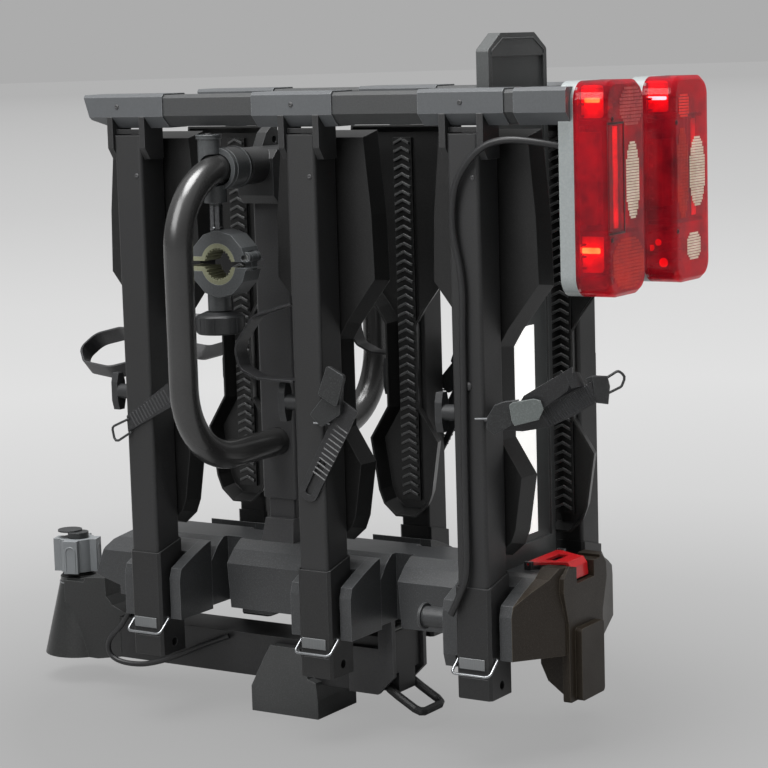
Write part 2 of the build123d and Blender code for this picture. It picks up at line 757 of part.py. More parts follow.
def rear_cover():
    """Faceted cover on the rear cross beam: swept-back sides, a long panel and a gusset below."""
    x0 = rear_x + cheek_in + cheek_t
    half = (
        (42, 106), (cheek_end_y, cheek_bottom_z), (cheek_end_y, 157), (106, 168), (84, 178), (60, 187),
        (46, cover_top_z),
    )
    sides = along_x(half + tuple((-y, z) for y, z in reversed(half)), x0, cover_x1 - 3)
    plan = ((x0, cheek_end_y), (cover_x1 - 3, 40), (cover_x1 - 3, -40), (x0, -cheek_end_y))
    sides = sides & along_z(plan, 100, 200)
    half = ((cover_half, cover_low_z), (cover_half, 137), (47, 171), (46, 186), (36, cover_top_z))
    plate = along_x(half + tuple((-y, z) for y, z in reversed(half)), cover_x1 - 8, cover_x1, 3)
    panel = ((24.5, cover_low_z), (24.5, 131), (-24.5, 131), (-24.5, cover_low_z))
    plate = plate + along_x(panel, cover_x1, cover_x1 + panel_t, 4)
    gusset = (
        (cover_x1 - 4, 112), (x0 - 15.5, cheek_bottom_z - 0.1), (x0 - 15, 90), (x0 - 7, 73), (cover_x1 - 8, 55.5),
        (cover_x1 - 4, 57),
    )
    cover = sides + plate + along_y(gusset, -24, 24)
    seat = block((x0 - 1, cover_x1 + 1), (-latch_half, latch_half), (latch_z - latch_t - 0.6, cover_top_z + 1))
    lip = block((latch_hinge_x + 33, cover_x1 + 1), (-19, 19), (176, cover_top_z + 1))
    return cover - seat - lip


def red_latch():
    """Bent latch plate with a window, a pull lip and a hinge pin."""
    x0 = latch_hinge_x - 3.5
    lip_x = latch_hinge_x + 35
    side = (
        (x0, latch_z), (lip_x, latch_z), (lip_x + 4, latch_z - 6), (lip_x + 5, 178), (lip_x + 2, 178),
        (lip_x + 1, latch_z - 7), (lip_x - 2, latch_z - latch_t), (x0, latch_z - latch_t),
    )
    plan = (
        (x0, latch_half), (x0 + 6, latch_half), (lip_x - 7, 19), (lip_x, 17), (lip_x + 6, 18),
        (lip_x + 6, -18), (lip_x, -17), (lip_x - 7, -19), (x0 + 6, -latch_half), (x0, -latch_half),
    )
    plate = along_y(side, -latch_half, latch_half) & along_z(plan, 170, 200)
    plate = plate - block((latch_hinge_x + 8, latch_hinge_x + 20), (-15, 15), (latch_z - 9, latch_z + 1))
    return plate + rod_y(-latch_half - 4, latch_half + 4, latch_hinge_x, latch_z - latch_t / 2, latch_pin_r)


def mast():
    """Base collar, narrow post and wide sleeve."""
    collar = loft(
        [
            Plane(origin=(hoop_x, 0, beam_top_z)) * Rectangle(42, 56),
            Plane(origin=(hoop_x, 0, collar_z1)) * Rectangle(36, 44),
        ]
    )
    post = square_tube(hoop_x, 0, post_half_x, post_half_y, 3, collar_z1, post_z1)
    tube = square_tube(hoop_x, 0, mast_half_x, mast_half_y, 5, post_z1, head_bottom_z)
    tube = tube - rod_y(-mast_half_y - 1, mast_half_y + 1, hoop_x, hoop_low_z, hoop_r + 0.1)
    return collar + post + tube


def hoop():
    """Closed tube hoop through the mast, made in two mirrored halves."""
    points = (
        (hoop_x, 0, hoop_low_z), (hoop_x, hoop_half, hoop_low_z), (hoop_x, hoop_half, hoop_high_z),
        (hoop_x, 0, hoop_high_z),
    )
    half = wire(points, [hoop_bend, hoop_bend], hoop_r, 24, 9)
    return half + mirror(half, about=Plane.XZ)


def head_casting():
    """Casting that joins the hoop to the mast, with a pierced ear."""
    body = rod_y(-head_end_y, head_end_y, hoop_x, hoop_high_z, hoop_r + 4.5)
    core = block((hoop_x - mast_half_x, hoop_x + mast_half_x), (-44, 44), (head_bottom_z, hoop_high_z + 16))
    body = body + chamfer(core.edges().filter_by(Axis.X), 9)
    for side in (-1, 1):
        body = body + rod_y(*sorted((side * head_end_y, side * (head_end_y + 3))), hoop_x, hoop_high_z, hoop_r + 6)
    ear = along_x(
        (
            (-34, hoop_high_z), (34, hoop_high_z), (12, hoop_high_z + 33), (-4, hoop_high_z + 39),
            (-14, hoop_high_z + 33),
        ),
        hoop_x - 17, hoop_x - 5,
    )
    body = body + ear - rod_x(hoop_x - 18, hoop_x - 4, 0, hoop_high_z + 25, 4)
    return body - rod_y(-head_end_y - 4, head_end_y + 4, hoop_x, hoop_high_z, hoop_r + 0.1)


# Bike clamp

def clamp_collar():
    """Collar round the upper leg, with a capped boss on top and a socket below."""
    collar = rod_y(-clamp_y1, -clamp_y0, hoop_x, hoop_high_z, clamp_r)
    boss_x = hoop_x - 9.5
    boss_y = -jaw_y - 3
    collar = collar + rod_z(hoop_high_z, hoop_high_z + 33, boss_x, boss_y, 12)
    collar = collar + rod_z(hoop_high_z + 31, hoop_high_z + 35, boss_x, boss_y, 13.5)
    collar = collar + rod_z(clamp_neck_z, hoop_high_z, clamp_x, -jaw_y, 12)
    straight = hoop_half - hoop_bend
    collar = collar - rod_y(-straight, -clamp_y0 + 1, hoop_x, hoop_high_z, hoop_r + pin_gap)
    collar = collar - rod_y(-straight - 25, -straight, hoop_x, hoop_high_z - 1.3, hoop_r + 1.6)
    return collar - rod_z(clamp_neck_z - 1, hoop_high_z - hoop_r - 4, clamp_x, -jaw_y, clamp_neck_r + pin_gap)


def jaw_outline(r, nose):
    """Half of a jaw as (x, z) points about the jaw centre, above the split."""
    points = [(nose, jaw_split / 2)]
    points.append((nose, r * 0.34))
    for angle in (150, 120, 90, 60, 30, 10):
        a = math.radians(angle)
        points.append((r * math.cos(a), r * math.sin(a)))
    points.append((r + 3, jaw_split / 2))
    return points


def jaw(sign):
    """One jaw, with its round seat cut away and an ear at the hinge bolt."""
    pts = [(jaw_x + x, jaw_z + sign * z) for x, z in jaw_outline(jaw_r, -jaw_r - 6)]
    solid = along_y(pts, -jaw_y - jaw_t / 2, -jaw_y + jaw_t / 2)
    seat = jaw_bore_r + liner_t
    solid = solid - rod_y(-jaw_y - jaw_t, -jaw_y + jaw_t, jaw_x, jaw_z, seat)
    y0, y1 = -jaw_y - jaw_t, -jaw_y + jaw_t
    mouth = sorted((jaw_z, jaw_z + sign * (jaw_split / 2 + liner_t)))
    return solid - block((jaw_x - jaw_r - 8, jaw_x - jaw_r * 0.4), (y0, y1), mouth)


def jaw_liner(sign):
    """Toothed rubber liner of one jaw."""
    y0, y1 = -jaw_y - jaw_t / 2, -jaw_y + jaw_t / 2
    seat = jaw_bore_r + liner_t
    ring = rod_y(y0, y1, jaw_x, jaw_z, seat) - rod_y(y0 - 1, y1 + 1, jaw_x, jaw_z, jaw_bore_r)
    low, high = sorted((jaw_z + sign * jaw_split / 2, jaw_z + sign * seat))
    ring = ring & block((jaw_x - seat, jaw_x + seat), (y0, y1), (low, high))
    lip0, lip1 = sorted((jaw_z + sign * jaw_split / 2, jaw_z + sign * (jaw_split / 2 + liner_t)))
    lip = block((jaw_x - jaw_r - 6, jaw_x - jaw_bore_r - 1), (y0, y1), (lip0, lip1))
    return ring + lip


def clamp_arm():
    """Upper jaw on its round neck."""
    neck = rod_z(jaw_z + jaw_r - 6, clamp_neck_z + 12, clamp_x, -jaw_y, clamp_neck_r)
    upper = jaw(1) + neck
    upper = upper + rod_y(-jaw_y - 10, -jaw_y + 10, jaw_pin_x, jaw_pin_z, jaw_ear_r)
    slot_x = jaw_pin_x - jaw_ear_r - 0.4
    upper = upper - block((slot_x, jaw_x + 50), (-jaw_y - 5, -jaw_y + 5), (jaw_z, jaw_pin_z + jaw_ear_r + 0.8))
    return upper - rod_y(-jaw_y - jaw_t, -jaw_y + jaw_t, jaw_pin_x, jaw_pin_z, jaw_pin_r + 0.02)


def lower_jaw():
    """Lower jaw, hung on the hinge bolt."""
    knuckle = rod_y(-jaw_y - 4.7, -jaw_y + 4.7, jaw_pin_x, jaw_pin_z, jaw_ear_r)
    web = block((jaw_pin_x - 4, jaw_pin_x + 4), (-jaw_y - 4.7, -jaw_y + 4.7), (jaw_z - 6.5, jaw_pin_z))
    lower = jaw(-1) + web + knuckle
    neck = rod_z(clamp_knob_z1 + 4, jaw_z - jaw_r + 8, clamp_x, -jaw_y, 12)
    lower = lower + neck
    lower = lower - rod_y(-jaw_y - 5, -jaw_y + 5, jaw_pin_x, jaw_pin_z, jaw_pin_r + pin_gap)
    return lower - rod_z(clamp_knob_z1, jaw_z - jaw_r + 6, clamp_x, -jaw_y, 5 + pin_gap)


def clamp_knob():
    """Round clamping knob on a stud."""
    x = clamp_x
    body = rod_z(clamp_knob_z0, clamp_knob_z1, x, -jaw_y, clamp_knob_r)
    body = chamfer(body.edges(), 2)
    cone = Pos(x, -jaw_y, clamp_knob_z1 + 1.5) * Cone(22, 15, 3)
    stud = rod_z(clamp_knob_z1, jaw_z - jaw_r + 2, x, -jaw_y, 5)
    return body + cone + stud


# Lower beam

def coupling_body():
    """Bell over the tow ball, with side plates that run back to the lower beam."""
    bell = Pos(coupling_x, 0, (bell_z0 + bell_z1) / 2) * Cone(bell_r0, bell_r1, bell_z1 - bell_z0)
    plates = (
        (coupling_x, 118), (coupling_x + knob_r + 3, 118), (coupling_x + knob_r + 6, 124), (-295.5, 126),
        (-294.5, 104), (-285.5, 95), (-265.5, 87), (low_front_x, low_top_z),
        (low_front_x, low_bottom_z), (-310, 30), (coupling_x, 30),
    )
    body = bell + along_y(plates, -body_half, body_half)
    body = body + rod_z(bell_z1 - 2, 119, coupling_x, 0, 21) + rod_z(119, 123, coupling_x, 0, 17)
    body = body - rod_z(bell_z0 - 1, ball_z, coupling_x, 0, ball_r)
    body = body - Pos(coupling_x, 0, ball_z + ball_r / 4) * Cone(ball_r, ball_r * 0.8, ball_r / 2)
    body = body - Pos(coupling_x, 0, ball_z + ball_r * 0.75) * Cone(ball_r * 0.8, ball_r * 0.3, ball_r / 2)
    return body - rod_z(100, 130, coupling_x, 0, knob_stem_r + pin_gap)


def coupling_knob():
    """Four-lobed knob on its threaded stem."""
    knob = rod_z(knob_z0, knob_z1, coupling_x, 0, knob_r - 6)
    for angle in (0, 90, 180, 270):
        lobe = Pos(coupling_x, 0, (knob_z0 + knob_z1) / 2) * Rot(0, 0, angle + 20) * Pos(knob_r / 2, 0, 0)
        knob = knob + lobe * Box(knob_r, 17, knob_z1 - knob_z0)
    knob = knob + rod_z(104, knob_z0, coupling_x, 0, knob_stem_r)
    return knob - rod_z(knob_z1 - 6, knob_z1 + 1, coupling_x + 2, 0, 5 + pin_gap)


def lock_cap():
    """Swivelling dust cap over the key lock."""
    cap = rod_z(knob_z1 + seat_gap, cap_z1 - 2, coupling_x + 2, 0, 12)
    cap = cap + rod_z(cap_z1 - 2, cap_z1, coupling_x - 10, 0, 14)
    return cap + rod_z(knob_z1 - 5, knob_z1 + 1, coupling_x + 2, 0, 5)


def lower_beam():
    """Box beam with the raised tilt box at its rear end."""
    beam = block((low_front_x, tilt_box_x0 + 10), (-low_half, low_half), (low_bottom_z, low_top_z))
    beam = beam - block(
        (low_front_x + low_wall, tilt_box_x0 - low_wall), (-low_half + low_wall, low_half - low_wall),
        (low_bottom_z + low_wall, low_top_z - low_wall),
    )
    profile = (
        (tilt_box_x0, low_bottom_z), (tilt_box_x1, low_bottom_z), (tilt_box_x1, 103), (82.5, tilt_box_top_z),
        (tilt_box_x0, tilt_box_top_z),
    )
    tilt_box = along_y(profile, -low_half, low_half)
    for side in (-1, 1):
        bevel = (
            (side * (low_half + 1), 96), (side * (low_half + 1), tilt_box_top_z + 1), (side * 14.5, tilt_box_top_z + 1),
        )
        tilt_box = tilt_box - along_x(bevel, tilt_box_x0 - 1, tilt_box_x1 + 1)
        y0, y1 = sorted((side * 16, side * (low_half + 1)))
        tilt_box = tilt_box - block((66, tilt_box_x1 + 1), (y0, y1), (low_bottom_z - 1, 58))
    beam = beam + tilt_box
    beam = beam - rod_y(-low_half - 1, low_half + 1, tilt_x, tilt_z, tilt_r + pin_gap)
    return beam - rod_y(-low_half - 1, low_half + 1, pedal_x, pedal_z, pedal_r + pin_gap)


def pedal():
    """Bent-rod pedal that pivots in the tilt box."""
    points = (
        (pedal_x, 15.5, pedal_z), (pedal_x, pedal_half, pedal_z), (94.5, pedal_half, 34),
        (pedal_bar_x, pedal_half, pedal_bar_z), (pedal_bar_x, -pedal_half, pedal_bar_z), (94.5, -pedal_half, 34),
        (pedal_x, -pedal_half, pedal_z), (pedal_x, -15.5, pedal_z),
    )
    loop = wire(points, [5, 20, 8, 8, 20, 5], pedal_r, 10)
    return loop + rod_y(-16, 16, pedal_x, pedal_z, pedal_r)


def foot():
    """Foot with a sloping slot and a recess, wrapped round the lower beam."""
    side = (
        (foot_x0, 0), (foot_x0, foot_base_z), (foot_x0 + 19, 63), (foot_x0 + 27, 76), (foot_x1 - 22, 76),
        (foot_x1 - 12, 43), (foot_x1 - 2, 40), (foot_x1, 21), (foot_x1, 0),
    )
    body = along_y(side, -foot_half, foot_half)
    body = body - block((foot_x0 - 1, foot_x1 + 1), (-low_half, low_half), (low_bottom_z, low_top_z))
    return body


def low_cable_points():
    """Route of the lighting cable under the coupling and back along the beam."""
    return (
        (-234.5, -60, 101), (-244.5, -60, 84), (-267.5, -58, 66), (-271.5, -56, 49), (-259.5, -54, 39),
        (-232.5, -50, 37), (-208.5, -46, 42), (-183.5, -42, 51), (-151.5, -36, 66), (-120.5, -low_half - 3.1, 78),
    )


def lamp_cable_points():
    """Route of the lamp cable, from the lamp round the arm and down its outer face."""
    return (
        (lamp_x0 - 1.3, -110, 620), (319.5, -118, 625), (292.5, -124.5, 627), (270, -126, 620), (250, -126, 601),
        (238, -125.5, 579), (234.5, -124.5, 540), (245.5, -124, 492), (243.5, -124, 440), (243.5, -124, 374),
        (242.5, -124, 310), (242.5, -124, 254), (243.5, -125.6, 202), (237.5, -127, 184), (224.5, -127, 159),
    )


def board():
    """Number board with clipped top corners and a shallow recess."""
    shape = (
        (-board_half, board_foot_z), (board_half, board_foot_z), (board_half, board_top_z - 16),
        (board_half - 25, board_top_z), (25 - board_half, board_top_z), (-board_half, board_top_z - 16),
    )
    plate = along_x(shape, board_x0, board_x1, 4)
    recess = block((board_x1 - 3, board_x1 + 1), (-board_half + 7, board_half - 7), (label_z0 - 8, 704))
    return plate - recess


def main():
    """Build and export every node."""
    os.makedirs("parts", exist_ok=True)
    wing("near", -1)
    wing("far", 1)
    write("lamp_cable", [cord(lamp_cable_points(), lamp_cable_r)])
    write("centre_beam", [centre_beam()])
    write("tilt_bracket", tilt_bracket())
    write("front_cross_beam", cross_beam(front_x))
    write("middle_cross_beam", cross_beam(middle_x))
    write("rear_cross_beam", [rear_beam()])
    write("rear_cover", [rear_cover()])
    write("mast", [mast()])
    write("hoop", [hoop()])
    write("head_casting", [head_casting()])
    write("hinge_pins", hinge_pins())
    write("number_board", [board()])
    face_x = board_x1 - 3
    write("board_label", [block((face_x, face_x + label_t), (-label_half, label_half), (label_z0, label_z1))])
    write("red_latch", [red_latch()])
    write("clamp_collar", [clamp_collar()])
    write("clamp_arm", [clamp_arm()])
    write("upper_liner", [jaw_liner(1)])
    write("lower_jaw", [lower_jaw()])
    write("lower_liner", [jaw_liner(-1)])
    write("clamp_bolt", [rod_y(-jaw_y - 10, -jaw_y + 10, jaw_pin_x, jaw_pin_z, jaw_pin_r)])
    write("clamp_knob", [clamp_knob()])
    write("lower_beam", [lower_beam()])
    write("coupling_body", [coupling_body()])
    write("coupling_knob", [coupling_knob()])
    write("lock_cap", [lock_cap()])
    write("pedal", [pedal()])
    write("foot", [foot()])
    write("low_cable", [cord(low_cable_points(), low_cable_r)])
    for name, points in (("lamp_cable", lamp_cable_points()), ("low_cable", low_cable_points())):
        print(name, "bend radii", [round(r, 1) for r in bend_radii(points)])


main()
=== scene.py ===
"""Looks of a folded three-bike hitch rack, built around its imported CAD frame."""

import logging
import math
from dataclasses import dataclass
from enum import Enum

import bmesh
import bpy
from mathutils import Matrix, Vector


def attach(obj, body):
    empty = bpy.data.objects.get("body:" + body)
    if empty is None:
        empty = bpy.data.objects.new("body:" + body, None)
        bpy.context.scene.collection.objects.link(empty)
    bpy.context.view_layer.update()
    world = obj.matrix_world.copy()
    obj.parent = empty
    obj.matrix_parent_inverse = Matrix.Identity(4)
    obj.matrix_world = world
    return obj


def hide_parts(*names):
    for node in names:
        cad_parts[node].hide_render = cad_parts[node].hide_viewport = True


LOG = logging.getLogger("rack")
MM = 0.001
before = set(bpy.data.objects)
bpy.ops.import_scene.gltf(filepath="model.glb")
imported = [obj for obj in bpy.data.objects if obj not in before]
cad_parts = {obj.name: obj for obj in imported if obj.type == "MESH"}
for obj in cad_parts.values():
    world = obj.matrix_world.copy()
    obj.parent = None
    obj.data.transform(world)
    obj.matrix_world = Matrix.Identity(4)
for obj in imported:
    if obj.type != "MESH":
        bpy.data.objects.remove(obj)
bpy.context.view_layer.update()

# Stations of the three bikes and faces that several classes share, in millimetres
FRONT_X = -161.5
MIDDLE_X = 57.0
REAR_X = 245.5
STATIONS = (FRONT_X, MIDDLE_X, REAR_X)
HOOP_X = (FRONT_X + MIDDLE_X) / 2
LENS_FRONT_X = 397.5

Point = tuple[float, float, float]
Pair = tuple[float, float]


class Axis(Enum):
    """Direction in which an outline is drawn out."""

    X = 0
    Y = 1
    Z = 2


class Grain(Enum):
    """Small-scale surface of a finish."""

    POWDER = "powder"
    MOULDED = "moulded"
    BRUSHED = "brushed"
    PLAIN = "plain"


# Finishes


def linear(code: str) -> tuple[float, float, float, float]:
    """Turn a written screen colour into the shader's linear colour.

    Args:
        code: Colour as #rrggbb.

    Returns:
        Linear red, green, blue and alpha.
    """
    parts = [int(code[i : i + 2], 16) / 255 for i in (1, 3, 5)]
    flat = [c / 12.92 if c <= 0.04045 else ((c + 0.055) / 1.055) ** 2.4 for c in parts]
    return (flat[0], flat[1], flat[2], 1.0)


class Graph:
    """Adds and links nodes of one tree."""

    def __init__(self, tree: bpy.types.NodeTree) -> None:
        """Keep the tree."""
        self.tree = tree

    def add(self, kind: str, settings: dict | None = None, **inputs: object) -> bpy.types.Node:
        """Add a node.

        Args:
            kind: Blender's node type.
            settings: Properties of the node itself.
            inputs: Values or sockets for its inputs, with underscores for blanks.

        Returns:
            The new node.
        """
        node = self.tree.nodes.new(kind)
        for name, value in (settings or {}).items():
            setattr(node, name, value)
        self.fill(node, **inputs)
        return node

    def fill(self, node: bpy.types.Node, **inputs: object) -> None:
        """Feed several inputs of a node, named with underscores for blanks."""
        for name, value in inputs.items():
            self.feed(node, name.replace("_", " "), value)

    def feed(self, node: bpy.types.Node, name: str | int, value: object) -> None:
        """Set an input of a node, or link a socket to it."""
        socket = node.inputs[name]
        if isinstance(value, bpy.types.NodeSocket):
            self.tree.links.new(value, socket)
        else:
            socket.default_value = value

    def remap(self, value: object, span: Pair, low: float, high: float) -> bpy.types.NodeSocket:
        """Map a number from a span to the range from low to high."""
        node = self.add("ShaderNodeMapRange", Value=value)
        self.fill(node, From_Min=span[0], From_Max=span[1], To_Min=low, To_Max=high)
        return node.outputs[0]

    def blend(self, factor: object, first: object, second: object) -> bpy.types.NodeSocket:
        """Mix two colours; the node keeps its colour sockets at 6 and 7."""
        node = self.add("ShaderNodeMix", {"data_type": "RGBA"})
        for place, value in ((0, factor), (6, first), (7, second)):
            self.feed(node, place, value)
        return node.outputs[2]

    def combine(
        self, operation: str, first: object, second: object, clamp: bool = False
    ) -> bpy.types.NodeSocket:
        """Combine two numbers."""
        node = self.add("ShaderNodeMath", {"operation": operation, "use_clamp": clamp})
        self.feed(node, 0, first)
        self.feed(node, 1, second)
        return node.outputs[0]

    def measure(self, operation: str, *vectors: object) -> bpy.types.NodeSocket:
        """Return the number that a vector operation gives."""
        node = self.add("ShaderNodeVectorMath", {"operation": operation})
        for place, vector in enumerate(vectors):
            self.feed(node, place, vector)
        return node.outputs["Value"]

    def show(self, output: str, share: object, first: bpy.types.Node, second: bpy.types.Node) -> None:
        """Mix two shaders and show them.

        Args:
            output: Name of the tree's output node.
            share: Share of the second shader.
            first: First shader.
            second: Second shader.
        """
        mix = self.add("ShaderNodeMixShader", Fac=share)
        self.feed(mix, 1, first.outputs[0])
        self.feed(mix, 2, second.outputs[0])
        self.feed(self.tree.nodes[output], "Surface", mix.outputs[0])


# Spans of the noise and of the edge test that the finishes react to; the edge test places a painted highlight
# along the edges
CLOUD_SPAN = (0.3, 0.7)
SPECK_SPAN = (0.35, 0.75)
EDGE_HIGHLIGHT_SPAN = (0.97, 0.75)
EDGE_HIGHLIGHT_SHARE = 0.8


@dataclass(frozen=True)
class Surface:
    """Named procedural material; each kind of surface paints its own nodes."""

    name: str
    tone: str
    second: str

    def material(self) -> bpy.types.Material:
        """Build the material once, and return it."""
        known = bpy.data.materials.get(self.name)
        if known:
            return known
        material = bpy.data.materials.new(self.name)
        material.use_nodes = True
        graph = Graph(material.node_tree)
        place = graph.add("ShaderNodeTexCoord").outputs["Object"]
        self.paint(graph, material.node_tree.nodes["Principled BSDF"], place)
        return material

    def paint(self, graph: Graph, shader: bpy.types.Node, place: bpy.types.NodeSocket) -> None:
        """Set the nodes of the material.

        Args:
            graph: Node tree of the material.
            shader: Its principled shader.
            place: Coordinates on the object.
        """
        raise NotImplementedError


@dataclass(frozen=True)
class Finish(Surface):
    """Solid, opaque surface with patchy colour, a fine grain and a painted highlight along its edges."""

    # Lighter tone that the specks and the painted edge highlight turn towards
    edge: str
    roughness: float = 0.5
    spread: float = 0.08
    grain: Grain = Grain.POWDER
    grain_count: float = 800.0
    depth: float = 0.25
    metallic: float = 0.0
    specular: float = 0.4
    coat: float = 0.0
    edge_radius: float = 0.9
    patches: float = 9.0
    speck: float = 0.12
    glow: float = 0.0
    grain_height: float = 0.0004
    coat_roughness: float = 0.12

    def paint(self, graph: Graph, shader: bpy.types.Node, place: bpy.types.NodeSocket) -> None:
        """Lay patches, specks and a painted edge highlight over each other, then the relief and the shine."""
        cloud = graph.add("ShaderNodeTexNoise", Vector=place, Scale=self.patches, Detail=4.0).outputs[0]
        grain = self._grain(graph, place)
        edge = linear(self.edge)
        patch = graph.remap(cloud, CLOUD_SPAN, 0.0, 1.0)
        colour = graph.blend(patch, linear(self.tone), linear(self.second))
        colour = graph.blend(graph.remap(grain, SPECK_SPAN, 0.0, self.speck), colour, edge)
        bump = graph.add("ShaderNodeBump", Strength=self.depth, Distance=self.grain_height, Height=grain)
        if self.edge_radius:
            rounded = graph.add("ShaderNodeBevel", {"samples": 4}, Radius=self.edge_radius * MM).outputs[0]
            flat = graph.add("ShaderNodeNewGeometry").outputs["Normal"]
            turned = graph.measure("DOT_PRODUCT", rounded, flat)
            # Painted highlight: the colour turns towards the edge tone where the rounded normal leaves the
            # flat one
            colour = graph.blend(graph.remap(turned, EDGE_HIGHLIGHT_SPAN, 0.0, EDGE_HIGHLIGHT_SHARE), colour, edge)
            graph.feed(bump, "Normal", rounded)
        low, high = self.roughness - self.spread, self.roughness + self.spread
        graph.fill(
            shader,
            Base_Color=colour,
            Roughness=graph.remap(cloud, CLOUD_SPAN, low, high),
            Normal=bump.outputs[0],
            Metallic=self.metallic,
            Specular_IOR_Level=self.specular,
            Coat_Weight=self.coat,
            Coat_Roughness=self.coat_roughness,
        )
        # A glow gives off light of its own; on the label it is painted brightness standing in for light it
        # catches
        if self.glow:
            graph.fill(shader, Emission_Color=colour, Emission_Strength=self.glow)

    def _grain(self, graph: Graph, place: bpy.types.NodeSocket) -> bpy.types.NodeSocket:
        """Return the height of the small-scale surface."""
        count = self.grain_count
        if self.grain is Grain.MOULDED:
            cells = graph.add("ShaderNodeTexVoronoi", {"feature": "SMOOTH_F1"}, Vector=place, Scale=count)
            return cells.outputs["Distance"]
        if self.grain is Grain.BRUSHED:
            place = graph.add("ShaderNodeMapping", Vector=place, Scale=(1.0, 1.0, 0.03)).outputs[0]
        detail = 1.0 if self.grain is Grain.PLAIN else 3.0
        return graph.add("ShaderNodeTexNoise", Vector=place, Scale=count, Detail=detail).outputs[0]


@dataclass(frozen=True)
class ClearFinish(Surface):
    """Tinted see-through plastic: a glossy skin over a coloured, mottled filter."""

    filter: str
    flutes: float
    depth: float
    body: float
    roughness: float = 0.08
    glow: float = 0.0
    mottle: float = 34.0
    mottle_span: Pair = (0.38, 0.62)
    flute_height: float = 0.0005
    specular: float = 0.35
    coat: float = 0.35
    coat_roughness: float = 0.04
    spread: float = 0.12
    rim_share: float = 0.45

    def paint(self, graph: Graph, shader: bpy.types.Node, place: bpy.types.NodeSocket) -> None:
        """Mix the skin with the filter, with more of the skin where the surface turns away."""
        cloud = graph.add("ShaderNodeTexNoise", Vector=place, Scale=self.mottle, Detail=5.0, Roughness=0.65)
        cloud = cloud.outputs[0]
        patch = graph.remap(cloud, self.mottle_span, 0.0, 1.0)
        colour = graph.blend(patch, linear(self.tone), linear(self.second))
        cells = graph.add("ShaderNodeTexVoronoi", Vector=place, Scale=self.flutes).outputs["Distance"]
        bump = graph.add("ShaderNodeBump", Strength=self.depth, Distance=self.flute_height, Height=cells)
        graph.fill(
            shader,
            Base_Color=colour,
            Normal=bump.outputs[0],
            Roughness=graph.remap(cloud, CLOUD_SPAN, self.roughness, self.roughness + 0.06),
            Coat_Weight=self.coat,
            Coat_Roughness=self.coat_roughness,
            Specular_IOR_Level=self.specular,
        )
        if self.glow:
            graph.fill(shader, Emission_Color=colour, Emission_Strength=self.glow)
        through = graph.add("ShaderNodeBsdfTransparent", Color=linear(self.filter))
        solid = graph.remap(cloud, CLOUD_SPAN, self.body - self.spread, self.body + self.spread)
        facing = graph.add("ShaderNodeLayerWeight", Blend=0.25).outputs["Facing"]
        rim = graph.remap(facing, (0.2, 1.0), 0.0, self.rim_share)
        graph.show("Material Output", graph.combine("ADD", solid, rim, clamp=True), through, shader)


@dataclass(frozen=True)
class GlowFinish(Surface):
    """Lit light-guide; where it has a reach, its light fades away from its centre."""

    strength: float
    stripes: float
    centre: Point = (0.0, 0.0, 0.0)
    reach: float = 0.0
    full_share: float = 0.35
    faded: float = 0.05

    def paint(self, graph: Graph, shader: bpy.types.Node, place: bpy.types.NodeSocket) -> None:
        """Light the surface in its rippled colour."""
        ripple = graph.add("ShaderNodeTexNoise", Vector=place, Scale=self.stripes, Detail=2.0).outputs[0]
        patch = graph.remap(ripple, (0.4, 0.65), 0.0, 1.0)
        colour = graph.blend(patch, linear(self.tone), linear(self.second))
        strength = self.strength
        if self.reach:
            away = graph.measure("DISTANCE", place, Vector(self.centre) * MM)
            edge = self.reach * MM
            strength = graph.remap(away, (self.full_share * edge, edge), self.strength, self.faded)
        graph.fill(
            shader,
            Base_Color=colour,
            Emission_Color=colour,
            Emission_Strength=strength,
            Roughness=graph.remap(ripple, CLOUD_SPAN, 0.2, 0.35),
        )


ARM = Finish("powder_arm", "#1a1a1b", "#161616", "#5c5d5e", 0.5, 0.06, Grain.POWDER, 900.0, 0.3)
SLEEVE = Finish("moulded_sleeve", "#161617", "#131313", "#515252", 0.45, 0.06, Grain.MOULDED, 1100.0, 0.25)
BAR = Finish("textured_bar", "#313233", "#2c2d2d", "#6a6b6c", 0.5, 0.06, Grain.POWDER, 700.0, 0.3)
COVER = Finish("satin_cover", "#4a4c4e", "#444648", "#9a9d9f", 0.4, 0.05, Grain.PLAIN, 500.0, 0.05,
               speck=0.03)
TRAY = Finish("tray_plastic", "#101010", "#0c0c0c", "#3c3d3d", 0.4, 0.06, Grain.MOULDED, 900.0, 0.2)
BEAM = Finish("beam_plastic", "#2e2f30", "#28292a", "#7c7e80", 0.36, 0.06, Grain.MOULDED, 1000.0, 0.2)
REAR = Finish("rear_plastic", "#211a12", "#1b150e", "#655e52", 0.5, 0.06, Grain.MOULDED, 1000.0, 0.25,
              specular=0.25)
STEEL = Finish("painted_steel", "#333334", "#2a2a2b", "#6a6b6c", 0.45, 0.06, Grain.POWDER, 700.0, 0.2)
HOOP = Finish("hoop_paint", "#292929", "#212121", "#535250", 0.25, 0.04, Grain.POWDER, 420.0, 0.08,
              edge_radius=0.0, speck=0.04, specular=0.6)
CLAMP = Finish("clamp_paint", "#3e4041", "#343637", "#868a8c", 0.36, 0.07, Grain.POWDER, 500.0, 0.3,
               speck=0.08)
LOW_STEEL = Finish("low_steel", "#1a1a1b", "#151515", "#4c4d4e", 0.45, 0.06, Grain.POWDER, 700.0, 0.2)
CAST = Finish("cast_head", "#1f2021", "#1a1a1a", "#5d6062", 0.36, 0.07, Grain.POWDER, 500.0, 0.3, speck=0.08)
BOARD = Finish("board_plastic", "#434545", "#3a3c3c", "#747677", 0.42, 0.05, Grain.MOULDED, 900.0, 0.15)
KNOB = Finish("knob_grey", "#6a6d6f", "#606365", "#949899", 0.5, 0.06, Grain.MOULDED, 800.0, 0.15, speck=0.05)
CAP = Finish("dark_cap", "#242526", "#1f2021", "#535456", 0.48, 0.06, Grain.MOULDED, 900.0, 0.2)
